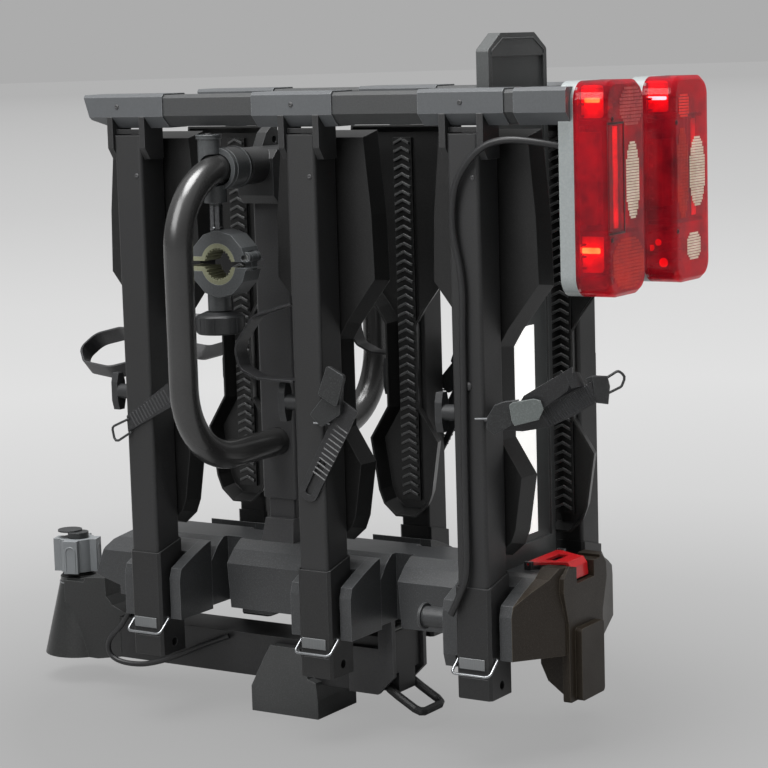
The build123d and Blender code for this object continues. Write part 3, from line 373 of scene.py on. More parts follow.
BELL = Finish("bell_paint", "#1c1d1d", "#161616", "#626564", 0.4, 0.08, Grain.POWDER, 520.0, 0.4, speck=0.08)
LINER = Finish("soft_liner", "#74755f", "#64654f", "#a4a68c", 0.7, 0.08, Grain.MOULDED, 700.0, 0.25,
               edge_radius=0.5)
TAG = Finish("brushed_tag", "#6f7172", "#616364", "#a4a6a7", 0.4, 0.08, Grain.BRUSHED, 900.0, 0.2, 0.5)
WIRE = Finish("bright_wire", "#8e9092", "#77797b", "#d5d7d8", 0.28, 0.07, Grain.PLAIN, 400.0, 0.1, 0.9,
              edge_radius=0.0)
PIN = Finish("zinc_pin", "#8b8c8a", "#747573", "#c8c9c7", 0.34, 0.07, Grain.PLAIN, 400.0, 0.15, 0.9)
CHROME = Finish("dark_chrome", "#5c5d5f", "#4b4c4e", "#b8babb", 0.22, 0.05, Grain.PLAIN, 400.0, 0.05, 0.9)
STRAP = Finish("strap_nylon", "#1d1d1e", "#181819", "#606265", 0.38, 0.06, Grain.MOULDED, 900.0, 0.1,
               edge_radius=0.4)
BUCKLE = Finish("buckle_plastic", "#202122", "#191a1a", "#6b6d6f", 0.4, 0.06, Grain.MOULDED, 900.0, 0.2)
LEVER = Finish("grey_lever", "#5a5f5e", "#505554", "#9aa09e", 0.5, 0.06, Grain.MOULDED, 800.0, 0.2)
LATCH = Finish("red_latch_skin", "#c4141c", "#a80f16", "#ee5a55", 0.38, 0.05, Grain.MOULDED, 900.0, 0.15,
               coat=0.2)
# The white label also glows a little: painted brightness for the light it catches, not a lamp
LABEL = Finish("label_white", "#f2f2f0", "#e9e9e6", "#ffffff", 0.45, 0.05, Grain.PLAIN, 300.0, 0.05, glow=0.7)
LAMP_BASE = Finish("lamp_silver", "#8f9494", "#818686", "#bcc0c0", 0.36, 0.06, Grain.PLAIN, 500.0, 0.1, 0.25)
CABLE = Finish("cable_rubber", "#1b1b1c", "#151516", "#474849", 0.42, 0.06, Grain.PLAIN, 600.0, 0.1,
               edge_radius=0.0)
FOOT = Finish("foot_plastic", "#3a3b3b", "#303131", "#6a6c6c", 0.5, 0.06, Grain.MOULDED, 900.0, 0.3)
# The tray's plastic in a lighter tone for the rungs: a painted highlight where light falls on them
RUNG_PAINTED_LIT = Finish("ladder_plastic", "#444545", "#393a3a", "#707171", 0.38, 0.06, Grain.MOULDED, 900.0, 0.1)
RUBBER = Finish("boot_rubber", "#161616", "#101010", "#3a3a3a", 0.55, 0.08, Grain.MOULDED, 700.0, 0.3)
LENS = ClearFinish("tinted_lens", "#c22233", "#6c101d", "#f78990", 300.0, 0.05, 0.3, glow=0.3)
MIRROR = ClearFinish("reflector_clear", "#f0e4d0", "#c8b8a0", "#e8d0c8", 700.0, 0.6, 0.85, 0.12, 0.12)
RUBY = ClearFinish("reflector_red", "#ff3026", "#c01812", "#ff6050", 700.0, 0.6, 0.8, 0.12)
COMB = ClearFinish("lens_comb", "#c06a66", "#a04648", "#f09090", 600.0, 0.5, 0.45, 0.2, 0.25)
LOW_COMB = ClearFinish("low_lens_comb", "#c43c2c", "#98201c", "#f08070", 600.0, 0.5, 0.45, 0.2, 0.35)
LAMP_CORE = Finish("lamp_core", "#8c5a5c", "#2c1214", "#e8b0b0", 0.3, 0.1, Grain.PLAIN, 60.0, 0.4,
                   coat=0.4, patches=45.0)
LAMP_DARK = Finish("lamp_dark", "#2a0a0c", "#180506", "#7a3034", 0.35, 0.08, Grain.PLAIN, 120.0, 0.3)
AMBER = GlowFinish("amber_glow", "#ffcc60", "#ff9a30", 20.0, 60.0)
HALO = GlowFinish("red_halo", "#ff1808", "#d00a04", 1.2, 90.0)
NEAR_HIGH_HALO = GlowFinish("near_high_halo", "#ff1c0a", "#e81006", 2.0, 90.0, (379.0, -104.0, 661.5), 15.0)
NEAR_LOW_HALO = GlowFinish("near_low_halo", "#ff1c0a", "#e81006", 2.0, 90.0, (374.5, -104.0, 520.5), 16.0)
FAR_HALO = GlowFinish("far_high_halo", "#ff1c14", "#e81010", 1.5, 90.0, (374.0, 41.0, 660.0), 17.0)
STREAK = GlowFinish("white_streak", "#ffe8e0", "#ffd0c8", 34.0, 60.0)
GLOW = GlowFinish("red_glow", "#ff1410", "#a80808", 1.3, 40.0)


# Shapes

FLAT_SECTION = ((-1, -1), (1, -1), (1, 1), (-1, 1))
BEVEL_ANGLE = math.radians(35)
SMOOTH_ANGLE = math.radians(38)


def whole_turn(count: int) -> list[float]:
    """Angles that divide a whole turn."""
    return [2 * math.pi * k / count for k in range(count)]


def bent(points: list[Point], radii: list[float], steps: int = 8) -> list[Vector]:
    """Round the corners of a polyline.

    Args:
        points: Corners in millimetres.
        radii: Bend radius of each inner corner.
        steps: Runs in each bend.

    Returns:
        Points of the rounded path.
    """
    path = [Vector(points[0])]
    for i, radius in enumerate(radii):
        before, here, after = (Vector(points[i + k]) for k in range(3))
        into = (here - before).normalized()
        out = (after - here).normalized()
        half = into.angle(out) / 2
        reach = radius * math.tan(half)
        centre = here + (out - into).normalized() * (radius / math.cos(half))
        spoke = here - into * reach - centre
        for k in range(steps + 1):
            angle = 2 * half * k / steps
            path.append(centre + spoke * math.cos(angle) + into * radius * math.sin(angle))
    path.append(Vector(points[-1]))
    return path


class Shape:
    """Mesh in millimetres that becomes one piece."""

    def __init__(self) -> None:
        """Start with an empty mesh."""
        self.mesh = bmesh.new()

    def _face(self, corners: list[bmesh.types.BMVert]) -> None:
        """Add a face, unless fewer than three of its corners differ."""
        if len(set(corners)) > 2:
            self.mesh.faces.new(corners)

    def skin(self, lower: list[bmesh.types.BMVert], upper: list[bmesh.types.BMVert]) -> None:
        """Close the band between two rings of equal count."""
        for k in range(len(lower)):
            m = (k + 1) % len(lower)
            self._face([lower[k], lower[m], upper[m], upper[k]])

    def _loft(self, rings: list[list[bmesh.types.BMVert]], closed: bool = False) -> None:
        """Skin a row of rings, and cap its ends unless they meet."""
        for lower, upper in zip(rings, rings[1:]):
            self.skin(lower, upper)
        if closed:
            self.skin(rings[-1], rings[0])
        else:
            self._face(rings[0][::-1])
            self._face(rings[-1])

    def prism(
        self, points: list[Pair], axis: Axis, low: float, high: float, place: Matrix | None = None
    ) -> None:
        """Draw an outline out along an axis.

        Args:
            points: Outline as pairs of the other two coordinates, in their order.
            axis: Direction to draw it out.
            low: Start along the axis.
            high: End along the axis.
            place: Optional placement of the result.
        """
        rings = []
        for level in (low, high):
            ring = []
            for u, v in points:
                at = {Axis.X: (level, u, v), Axis.Y: (u, level, v), Axis.Z: (u, v, level)}[axis]
                ring.append(self.mesh.verts.new(place @ Vector(at) if place else Vector(at)))
            rings.append(ring)
        self._loft(rings)

    def tube(self, path: list[Vector], radius: float, sides: int = 12, closed: bool = False) -> None:
        """Sweep a round section along a path.

        Args:
            path: Points of the centre line.
            radius: Radius of the section.
            sides: Sides of the section.
            closed: True for a loop.
        """
        count = len(path)
        rings = []
        side = None
        for i, here in enumerate(path):
            before = path[i - 1] if i or closed else here
            after = path[(i + 1) % count] if i < count - 1 or closed else here
            run = (after - before).normalized()
            if side is None:
                side = run.orthogonal().normalized()
            side = (side - run * side.dot(run)).normalized()
            other = run.cross(side)
            rings.append([
                self.mesh.verts.new(here + side * (radius * math.cos(t)) + other * (radius * math.sin(t)))
                for t in whole_turn(sides)
            ])
        self._loft(rings, closed)

    def turned(self, profile: list[Pair], place: Matrix, sides: int = 32) -> None:
        """Spin a profile about Z, then place it.

        Args:
            profile: Radius and height of each of its points.
            place: Placement of the result.
            sides: Sides of the turned form.
        """
        rings = []
        for radius, height in profile:
            ring = [Vector((radius * math.cos(t), radius * math.sin(t), height)) for t in whole_turn(sides)]
            rings.append([self.mesh.verts.new(place @ spot) for spot in ring])
        self._loft(rings)

    def ribbon(self, path: list[Vector], across: Vector, width: float, thick: float) -> None:
        """Sweep a flat section along a path.

        Args:
            path: Points of the centre line.
            across: Direction of the width.
            width: Width of the strip.
            thick: Thickness of the strip.
        """
        rings = []
        for i, here in enumerate(path):
            run = (path[min(i + 1, len(path) - 1)] - path[max(i - 1, 0)]).normalized()
            out = run.cross(across).normalized()
            spots = [here + across * (width / 2 * a) + out * (thick / 2 * b) for a, b in FLAT_SECTION]
            rings.append([self.mesh.verts.new(spot) for spot in spots])
        self._loft(rings)

    def item(self, name: str) -> bpy.types.Object:
        """Turn the mesh into a plain object, in metres."""
        bmesh.ops.recalc_face_normals(self.mesh, faces=self.mesh.faces[:])
        bmesh.ops.scale(self.mesh, vec=(MM, MM, MM), verts=self.mesh.verts[:])
        data = bpy.data.meshes.new(name)
        self.mesh.to_mesh(data)
        self.mesh.free()
        thing = bpy.data.objects.new(name, data)
        bpy.context.scene.collection.objects.link(thing)
        return thing

    def piece(
        self,
        name: str,
        finish: Surface,
        body: str,
        replaces: tuple[str, ...] = (),
        bevel: float = 0.0,
    ) -> bpy.types.Object:
        """Turn the mesh into a finished piece.

        Args:
            name: Name of the piece.
            finish: Finish to put on it.
            body: CAD body that it rides on.
            replaces: CAD nodes that it stands for.
            bevel: Width of the rounded edges, in millimetres.

        Returns:
            The piece.
        """
        thing = self.item(name)
        if bevel:
            edges = thing.modifiers.new("edges", "BEVEL")
            edges.width = bevel * MM
            edges.segments = 2
            edges.limit_method = "ANGLE"
            edges.angle_limit = BEVEL_ANGLE
            flatten(thing)
        return dress(thing, finish, body, replaces)


def flatten(thing: bpy.types.Object) -> None:
    """Apply the modifiers of an object to its mesh."""
    bpy.context.view_layer.update()
    shown = thing.evaluated_get(bpy.context.evaluated_depsgraph_get())
    made = bpy.data.meshes.new_from_object(shown)
    thing.modifiers.clear()
    thing.data = made


def dress(
    thing: bpy.types.Object, finish: Surface, body: str, replaces: tuple[str, ...] = ()
) -> bpy.types.Object:
    """Finish a piece and let it ride on its body.

    Args:
        thing: Object to finish.
        finish: Finish to put on it.
        body: CAD body that it rides on.
        replaces: CAD nodes that it stands for.

    Returns:
        The same object.
    """
    thing.data.materials.clear()
    thing.data.materials.append(finish.material())
    for polygon in thing.data.polygons:
        polygon.use_smooth = True
        polygon.material_index = 0
    thing.data.set_sharp_from_angle(angle=SMOOTH_ANGLE)
    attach(thing, body)
    if replaces:
        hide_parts(*replaces)
    LOG.info("piece %s on %s: %d faces", thing.name, body, len(thing.data.polygons))
    return thing


# Repeats


class Repeat:
    """Geometry Nodes tree that sets copies of an item at places of its own."""

    def __init__(
        self,
        name: str,
        item: bpy.types.Object,
        finish: Surface,
        inputs: dict[str, tuple[str, object]] | None = None,
    ) -> None:
        """Start a tree.

        Args:
            name: Name of the tree.
            item: Object to copy; it is removed once the tree has run.
            finish: Finish of the copies.
            inputs: Socket type and value of each further named input.
        """
        self.item = item
        self.tree = bpy.data.node_groups.new(name, "GeometryNodeTree")
        self.values = {}
        self._socket("Geometry", "INPUT", "NodeSocketGeometry")
        given = {
            **(inputs or {}),
            "Item": ("NodeSocketObject", item),
            "Material": ("NodeSocketMaterial", finish.material()),
        }
        for label, (kind, value) in given.items():
            self.values[self._socket(label, "INPUT", kind)] = value
        self._socket("Geometry", "OUTPUT", "NodeSocketGeometry")
        self.graph = Graph(self.tree)
        self.entry = self.graph.add("NodeGroupInput").outputs

    def _socket(self, label: str, way: str, kind: str) -> str:
        """Add a socket to the tree's interface and return its identifier."""
        return self.tree.interface.new_socket(name=label, in_out=way, socket_type=kind).identifier

    def close(self, points: bpy.types.NodeSocket, rotation: object, place: dict | None = None) -> None:
        """Set the item on the points, make it real and give it its material.

        Args:
            points: Points to set it on.
            rotation: Rotation of each copy, or None.
            place: Inputs of a last placement of them all, if they need one.
        """
        add = self.graph.add
        source = add("GeometryNodeObjectInfo", Object=self.entry["Item"]).outputs["Geometry"]
        copies = add("GeometryNodeInstanceOnPoints", Points=points, Instance=source)
        if rotation is not None:
            self.graph.feed(copies, "Rotation", rotation)
        real = add("GeometryNodeRealizeInstances", Geometry=copies.outputs[0]).outputs[0]
        if place:
            real = add("GeometryNodeTransform", Geometry=real, **place).outputs[0]
        coated = add("GeometryNodeSetMaterial", Geometry=real, Material=self.entry["Material"])
        add("NodeGroupOutput", Geometry=coated.outputs[0])

    def grow(self, host: bpy.types.Object) -> bpy.types.Object:
        """Run the tree on a host object and keep its mesh.

        Args:
            host: Object that the tree works on.

        Returns:
            The host with its new mesh.
        """
        modifier = host.modifiers.new("repeat", "NODES")
        modifier.node_group = self.tree
        for identifier, value in self.values.items():
            modifier[identifier] = value
        flatten(host)
        bpy.data.objects.remove(self.item)
        return host


def metres(point: Point) -> list[float]:
    """Turn a place in millimetres into metres."""
    return [c * MM for c in point]


def empty_mesh(name: str) -> bpy.types.Object:
    """Return an object with no mesh yet, for a tree that makes its own points."""
    thing = bpy.data.objects.new(name, bpy.data.meshes.new(name))
    bpy.context.scene.collection.objects.link(thing)
    return thing


def spaced_row(
    name: str, item: bpy.types.Object, start: Point, end: Point, count: int, finish: Surface
) -> bpy.types.Object:
    """Set copies of an item in a straight row.

    Args:
        name: Name of the piece.
        item: Object to copy.
        start: Place of the first copy, in millimetres.
        end: Place of the last copy.
        count: Number of copies.
        finish: Finish of the copies.

    Returns:
        One mesh with all of them.
    """
    places = {
        "Start": ("NodeSocketVector", metres(start)),
        "End": ("NodeSocketVector", metres(end)),
        "Count": ("NodeSocketInt", count),
    }
    repeat = Repeat(name + "_row", item, finish, places)
    graph, entry = repeat.graph, repeat.entry
    line = graph.add("GeometryNodeMeshLine", {"mode": "END_POINTS"}, Count=entry["Count"])
    end_socket = 3
    graph.feed(line, "Start Location", entry["Start"])
    graph.feed(line, end_socket, entry["End"])
    repeat.close(line.outputs[0], None)
    return repeat.grow(empty_mesh(name))


def ring(
    name: str, item: bpy.types.Object, centre: Point, radius: float, count: int, finish: Surface
) -> bpy.types.Object:
    """Set copies of an item round a vertical axis, each turned outwards.

    Args:
        name: Name of the piece.
        item: Object to copy, its outer side towards +X.
        centre: Centre of the ring, in millimetres.
        radius: Radius of the ring.
        count: Number of copies.
        finish: Finish of the copies.

    Returns:
        One mesh with all of them.
    """
    sizes = {
        "Centre": ("NodeSocketVector", metres(centre)),
        "Radius": ("NodeSocketFloat", radius * MM),
        "Count": ("NodeSocketInt", count),
    }
    repeat = Repeat(name + "_ring", item, finish, sizes)
    graph, entry = repeat.graph, repeat.entry
    circle = graph.add("GeometryNodeMeshCircle", Vertices=entry["Count"], Radius=entry["Radius"])
    spot = graph.add("GeometryNodeInputPosition").outputs[0]
    turn = graph.add("FunctionNodeAlignRotationToVector", {"axis": "X", "pivot_axis": "Z"}, Vector=spot)
    repeat.close(circle.outputs[0], turn.outputs[0], {"Translation": entry["Centre"]})
    return repeat.grow(empty_mesh(name))


def fasteners(
    name: str, item: bpy.types.Object, spots: list[tuple[Point, Point]], finish: Surface
) -> bpy.types.Object:
    """Set a fastener at each spot, its head turned to the given direction.

    Args:
        name: Name of the piece.
        item: One fastener, its head towards +Z.
        spots: Place in millimetres and outward direction of each.
        finish: Finish of the fasteners.

    Returns:
        One mesh with all of them.
    """
    repeat = Repeat(name + "_field", item, finish)
    graph = repeat.graph
    points = graph.add("GeometryNodeMeshToPoints", Mesh=repeat.entry["Geometry"])
    facing = graph.add("GeometryNodeInputNamedAttribute", {"data_type": "FLOAT_VECTOR"}, Name="facing")
    turn = graph.add("FunctionNodeAlignRotationToVector", {"axis": "Z"}, Vector=facing.outputs[0])
    repeat.close(points.outputs[0], turn.outputs[0])
    host = empty_mesh(name)
    host.data.from_pydata([metres(at) for at, _ in spots], [], [])
    ways = host.data.attributes.new("facing", "FLOAT_VECTOR", "POINT")
    for i, (_, way) in enumerate(spots):
        ways.data[i].vector = way
    return repeat.grow(host)


def comb(
    name: str, item: bpy.types.Object, half: Pair, pitch: float, centre: Point, finish: Surface
) -> bpy.types.Object:
    """Fill an ellipse in a YZ plane with copies of an item.

    Args:
        name: Name of the piece.
        item: Object to copy, its top towards +Z.
        half: Half width and half height of the ellipse, in millimetres.
        pitch: Distance between copies.
        centre: Centre of the ellipse.
        finish: Finish of the copies.

    Returns:
        One mesh with all of them.
    """
    ellipse_edge = 0.96
    sizes = {
        "Half Width": ("NodeSocketFloat", half[0] * MM),
        "Half Height": ("NodeSocketFloat", half[1] * MM),
        "Columns": ("NodeSocketInt", round(2 * half[0] / pitch)),
        "Rows": ("NodeSocketInt", round(2 * half[1] / pitch)),
        "Centre": ("NodeSocketVector", metres(centre)),
    }
    repeat = Repeat(name + "_comb", item, finish, sizes)
    graph, entry = repeat.graph, repeat.entry
    grid = graph.add(
        "GeometryNodeMeshGrid",
        Size_X=graph.combine("MULTIPLY", entry["Half Width"], 2.0),
        Size_Y=graph.combine("MULTIPLY", entry["Half Height"], 2.0),
        Vertices_X=entry["Columns"],
        Vertices_Y=entry["Rows"],
    )
    spot = graph.add("GeometryNodeInputPosition").outputs[0]
    apart = graph.add("ShaderNodeSeparateXYZ", Vector=spot).outputs
    squares = []
    for coordinate, label in ((apart[0], "Half Width"), (apart[1], "Half Height")):
        share = graph.combine("DIVIDE", coordinate, entry[label])
        squares.append(graph.combine("MULTIPLY", share, share))
    outside = graph.combine("GREATER_THAN", graph.combine("ADD", *squares), ellipse_edge)
    points = graph.add("GeometryNodeMeshToPoints", Mesh=grid.outputs[0]).outputs[0]
    kept = graph.add("GeometryNodeDeleteGeometry", {"domain": "POINT"}, Geometry=points, Selection=outside)
    place = {"Translation": entry["Centre"], "Rotation": (math.pi / 2, 0.0, math.pi / 2)}
    repeat.close(kept.outputs[0], None, place)
    return repeat.grow(empty_mesh(name))


# Studio


@dataclass
class Studio:
    """Camera, soft lamps, pale floor and the background they stand before."""

    camera_mm: Point = (1422.7, -2120.95, 719.4)
    yaw: float = 32.475
    pitch: float = 8.035
    roll: float = -1.676
    lens: float = 112.86
    sensor: float = 36.0
    floor_rings: tuple[float, ...] = (0.4, 1.0, 2.5, 5.0, 12.0, 30.0, 60.0)
    floor_glow: float = 0.9
    floor_strength: float = 1.03
    floor_paper: str = "#8e8e8e"
    floor_decades: Pair = (-1.0, 1.6)
    floor_tones: tuple[tuple[float, str], ...] = (
        (0.0, "#a4a4a4"), (0.2, "#a6a6a6"), (0.33, "#bcbcbc"), (0.43, "#d2d2d2"), (0.545, "#dfdfdf"),
        (0.63, "#d9d9d9"), (0.745, "#c8c8c8"), (0.94, "#b4b4b4"), (1.0, "#ababab"),
    )
    wall_tone: str = "#acacac"

    def build(self) -> None:
        """Make everything that isn't part of the rack."""
        self.camera()
        self.floor()
        self.world()
        self.lamps()
        bpy.context.scene.view_settings.view_transform = "Standard"

    def camera(self) -> None:
        """Stand the camera where the photograph was taken from."""
        yaw, pitch, roll = (math.radians(v) for v in (self.yaw, self.pitch, self.roll))
        back = Vector((math.sin(yaw) * math.cos(pitch), -math.cos(yaw) * math.cos(pitch), math.sin(pitch)))
        right = Vector((math.cos(yaw), math.sin(yaw), 0.0))
        up = back.cross(right)
        level = right * math.cos(roll) + up * math.sin(roll)
        above = up * math.cos(roll) - right * math.sin(roll)
        data = bpy.data.cameras.new("camera")
        data.lens = self.lens
        data.sensor_width = self.sensor
        data.clip_end = 200.0
        camera = bpy.data.objects.new("camera", data)
        turn = Matrix((level, above, back)).transposed().to_4x4()
        camera.matrix_world = Matrix.Translation(Vector(self.camera_mm) * MM) @ turn
        bpy.context.scene.collection.objects.link(camera)
        bpy.context.scene.camera = camera

    def floor(self) -> None:
        """Lay a wide pale floor whose tone changes a little with distance."""
        shape = Shape()
        rows = []
        for radius in self.floor_rings:
            spots = [(radius / MM * math.cos(t), radius / MM * math.sin(t), 0.0) for t in whole_turn(48)]
            rows.append([shape.mesh.verts.new(spot) for spot in spots])
        shape.mesh.faces.new(rows[0])
        for lower, upper in zip(rows, rows[1:]):
            shape.skin(upper, lower)
        floor = shape.item("floor")
        material = bpy.data.materials.new("floor_paper")
        material.use_nodes = True
        graph = Graph(material.node_tree)
        length = graph.measure("LENGTH", graph.add("ShaderNodeTexCoord").outputs["Object"])
        decades = graph.combine("LOGARITHM", length, 10.0)
        ramp = graph.add("ShaderNodeValToRGB", Fac=graph.remap(decades, self.floor_decades, 0.0, 1.0))
        stops = ramp.color_ramp.elements
        while len(stops) < len(self.floor_tones):
            stops.new(0.5)
        for stop, (position, code) in zip(stops, self.floor_tones):
            stop.position = position
            stop.color = linear(code)
        paper = graph.add("ShaderNodeBsdfDiffuse", Color=linear(self.floor_paper))
        lit = graph.add("ShaderNodeEmission", Color=ramp.outputs[0], Strength=self.floor_strength)
        seen = graph.add("ShaderNodeLightPath").outputs["Is Camera Ray"]
        graph.show("Material Output", graph.combine("MULTIPLY", seen, self.floor_glow), paper, lit)
        floor.data.materials.append(material)

    def world(self) -> None:
        """Light the rack evenly from all round, and show a grey wall to the camera."""
        world = bpy.data.worlds.new("studio")
        world.use_nodes = True
        bpy.context.scene.world = world
        graph = Graph(world.node_tree)
        way = graph.add("ShaderNodeTexCoord").outputs["Generated"]
        height = graph.add("ShaderNodeSeparateXYZ", Vector=way).outputs[2]
        dome = graph.remap(height, (-0.1, 0.9), 0.08, 0.7)
        fill = graph.add("ShaderNodeBackground", Color=linear("#ffffff"), Strength=dome)
        wall = graph.add("ShaderNodeBackground", Color=linear(self.wall_tone), Strength=1.0)
        seen = graph.add("ShaderNodeLightPath").outputs["Is Camera Ray"]
        graph.show("World Output", seen, fill, wall)

    def lamps(self) -> None:
        """Hang a wide distant lamp above and a square soft lamp in front, placed in metres."""
        top = bpy.data.lights.new("top_lamp", "SUN")
        top.energy = 6.0
        top.angle = math.radians(40.0)
        self._hang(top, (0.0, 0.0, 0.0), (0.0, 0.12, -1.0))
        front = bpy.data.lights.new("front_lamp", "AREA")
        front.energy = 15.0
        front.size = 0.8
        self._hang(front, (-0.2, -1.05, 1.3), (0.0, -0.1, 0.55))

    @staticmethod
    def _hang(data: bpy.types.Light, at: Point, aim: Point) -> None:
        """Hang a lamp at a place, facing its aim."""
        lamp = bpy.data.objects.new(data.name, data)
        lamp.location = at
        lamp.rotation_mode = "QUATERNION"
        lamp.rotation_quaternion = (Vector(at) - Vector(aim)).to_track_quat("Z", "Y")
        bpy.context.scene.collection.objects.link(lamp)


# The rack


@dataclass
class Castings:
    """CAD nodes that keep their shape and only get their finish."""

    wing_nodes: tuple[tuple[str, Surface], ...] = (
        ("arms", ARM), ("sleeves", SLEEVE), ("tags", TAG), ("bar", BAR), ("bar_covers", COVER),
        ("trays", TRAY), ("lamp_base", LAMP_BASE), ("lamp_lens", LENS), ("buckles", BUCKLE),
        ("front_knob", CAP), ("middle_knob", CAP), ("rear_knob", CAP), ("middle_lever", BUCKLE),
        ("rear_lever", LEVER),
    )
    nodes: tuple[tuple[str, Surface], ...] = (
        ("centre_beam", BEAM), ("tilt_bracket", STEEL), ("front_cross_beam", BEAM),
        ("middle_cross_beam", BEAM), ("rear_cross_beam", BEAM), ("rear_cover", REAR), ("mast", STEEL),
        ("head_casting", CAST), ("hinge_pins", PIN), ("number_board", BOARD), ("board_label", LABEL),
        ("red_latch", LATCH), ("clamp_collar", CLAMP), ("clamp_arm", CLAMP), ("upper_liner", LINER),
        ("lower_jaw", CLAMP), ("lower_liner", LINER), ("clamp_bolt", PIN), ("clamp_knob", CAP),
        ("lower_beam", LOW_STEEL), ("coupling_body", BELL), ("coupling_knob", KNOB), ("lock_cap", CAP),
        ("pedal", LOW_STEEL), ("foot", FOOT),
    )

    def build(self) -> None:
        """Put each finish on its node."""
        for side in ("near", "far"):
            for name, finish in self.wing_nodes:
                self._coat(f"{side}_{name}", finish)
        for name, finish in self.nodes:
            self._coat(name, finish)

    @staticmethod
    def _coat(node: str, finish: Surface) -> None:
        """Assign a finish to every slot of a node."""
        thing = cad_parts[node]
        for slot in thing.material_slots:
            slot.material = finish.material()
        LOG.info("finish %s on %s", finish.name, node)


@dataclass
class Cables:
    """The two lighting cables, which are fixed along their whole way."""

    lamp_radius: float = 3.5
    low_radius: float = 3.0
    lamp_route: tuple[Point, ...] = (
        (345.2, -110, 620), (319.5, -118, 625), (292.5, -124.5, 627), (270, -126, 620), (250, -126, 601),
        (238, -125.5, 579), (234.5, -124.5, 540), (245.5, -124, 492), (243.5, -124, 440), (243.5, -124, 374),
        (242.5, -124, 310), (242.5, -124, 254), (243.5, -125.6, 202), (237.5, -127, 184), (224.5, -127, 159),
    )
    low_route: tuple[Point, ...] = (
        (-234.5, -60, 101), (-244.5, -60, 84), (-267.5, -58, 66), (-271.5, -56, 49), (-259.5, -54, 39),
        (-232.5, -50, 37), (-208.5, -46, 42), (-183.5, -42, 51), (-151.5, -36, 66), (-120.5, -29.7, 78),
    )

    def build(self) -> None:
        """Make both cables."""
        self._cable("lamp_flex", self.lamp_route, self.lamp_radius, "near_wing", "lamp_cable")
        self._cable("beam_flex", self.low_route, self.low_radius, "base", "low_cable")

    @staticmethod
    def _cable(name: str, route: tuple[Point, ...], radius: float, body: str, node: str) -> None:
        """Run a smooth cable along the route of its CAD node."""
        data = bpy.data.curves.new(name, "CURVE")
        data.dimensions = "3D"
        data.bevel_depth = radius * MM
        data.bevel_resolution = 4
        data.use_fill_caps = True
        line = data.splines.new("NURBS")
        line.points.add(len(route) - 1)
        for point, at in zip(line.points, route):
            point.co = (*metres(at), 1.0)
        line.order_u = 3
        line.use_endpoint_u = True
        line.resolution_u = 10
        data.materials.append(CABLE.material())
        cable = bpy.data.objects.new(name, data)
        bpy.context.scene.collection.objects.link(cable)
        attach(cable, body)
        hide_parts(node)
        LOG.info("cable %s on %s: %d route points", name, body, len(route))


@dataclass
class Hoop:
    """Round tube that holds the bike clamp."""

    radius: float = 15.0
    half: float = 183.0
    low: float = 298.5
    high: float = 597.0
    bend: float = 80.0

    def build(self) -> None:
        """Sweep the closed tube."""
        corners = [
            (HOOP_X, 0, self.low), (HOOP_X, self.half, self.low), (HOOP_X, self.half, self.high),
            (HOOP_X, -self.half, self.high), (HOOP_X, -self.half, self.low), (HOOP_X, 0, self.low),
        ]
        path = bent(corners, [self.bend] * 4, 14)[:-1]
        shape = Shape()
        shape.tube(path, self.radius, 32, True)
        shape.piece("hoop_tube", HOOP, "platform", ("hoop",))


@dataclass
class Side:
    """One side of the rack; its shapes are drawn on +Y and mirrored where needed."""

    name: str
    side: int

    @property
    def near(self) -> bool:
        """True on the side towards -Y."""
        return self.side < 0

    @property
    def body(self) -> str:
        """Body that the side's fixed pieces ride on."""
        return self.name + "_wing"

    @property
    def mirror(self) -> Matrix:
        """Placement that puts a shape drawn on +Y on this side."""
        return Matrix.Diagonal((1, self.side, 1, 1))

    def flip(self, points: list[Point]) -> list[Point]:
        """Put points that are drawn on +Y on this side."""
        return [(x, self.side * y, z) for x, y, z in points]


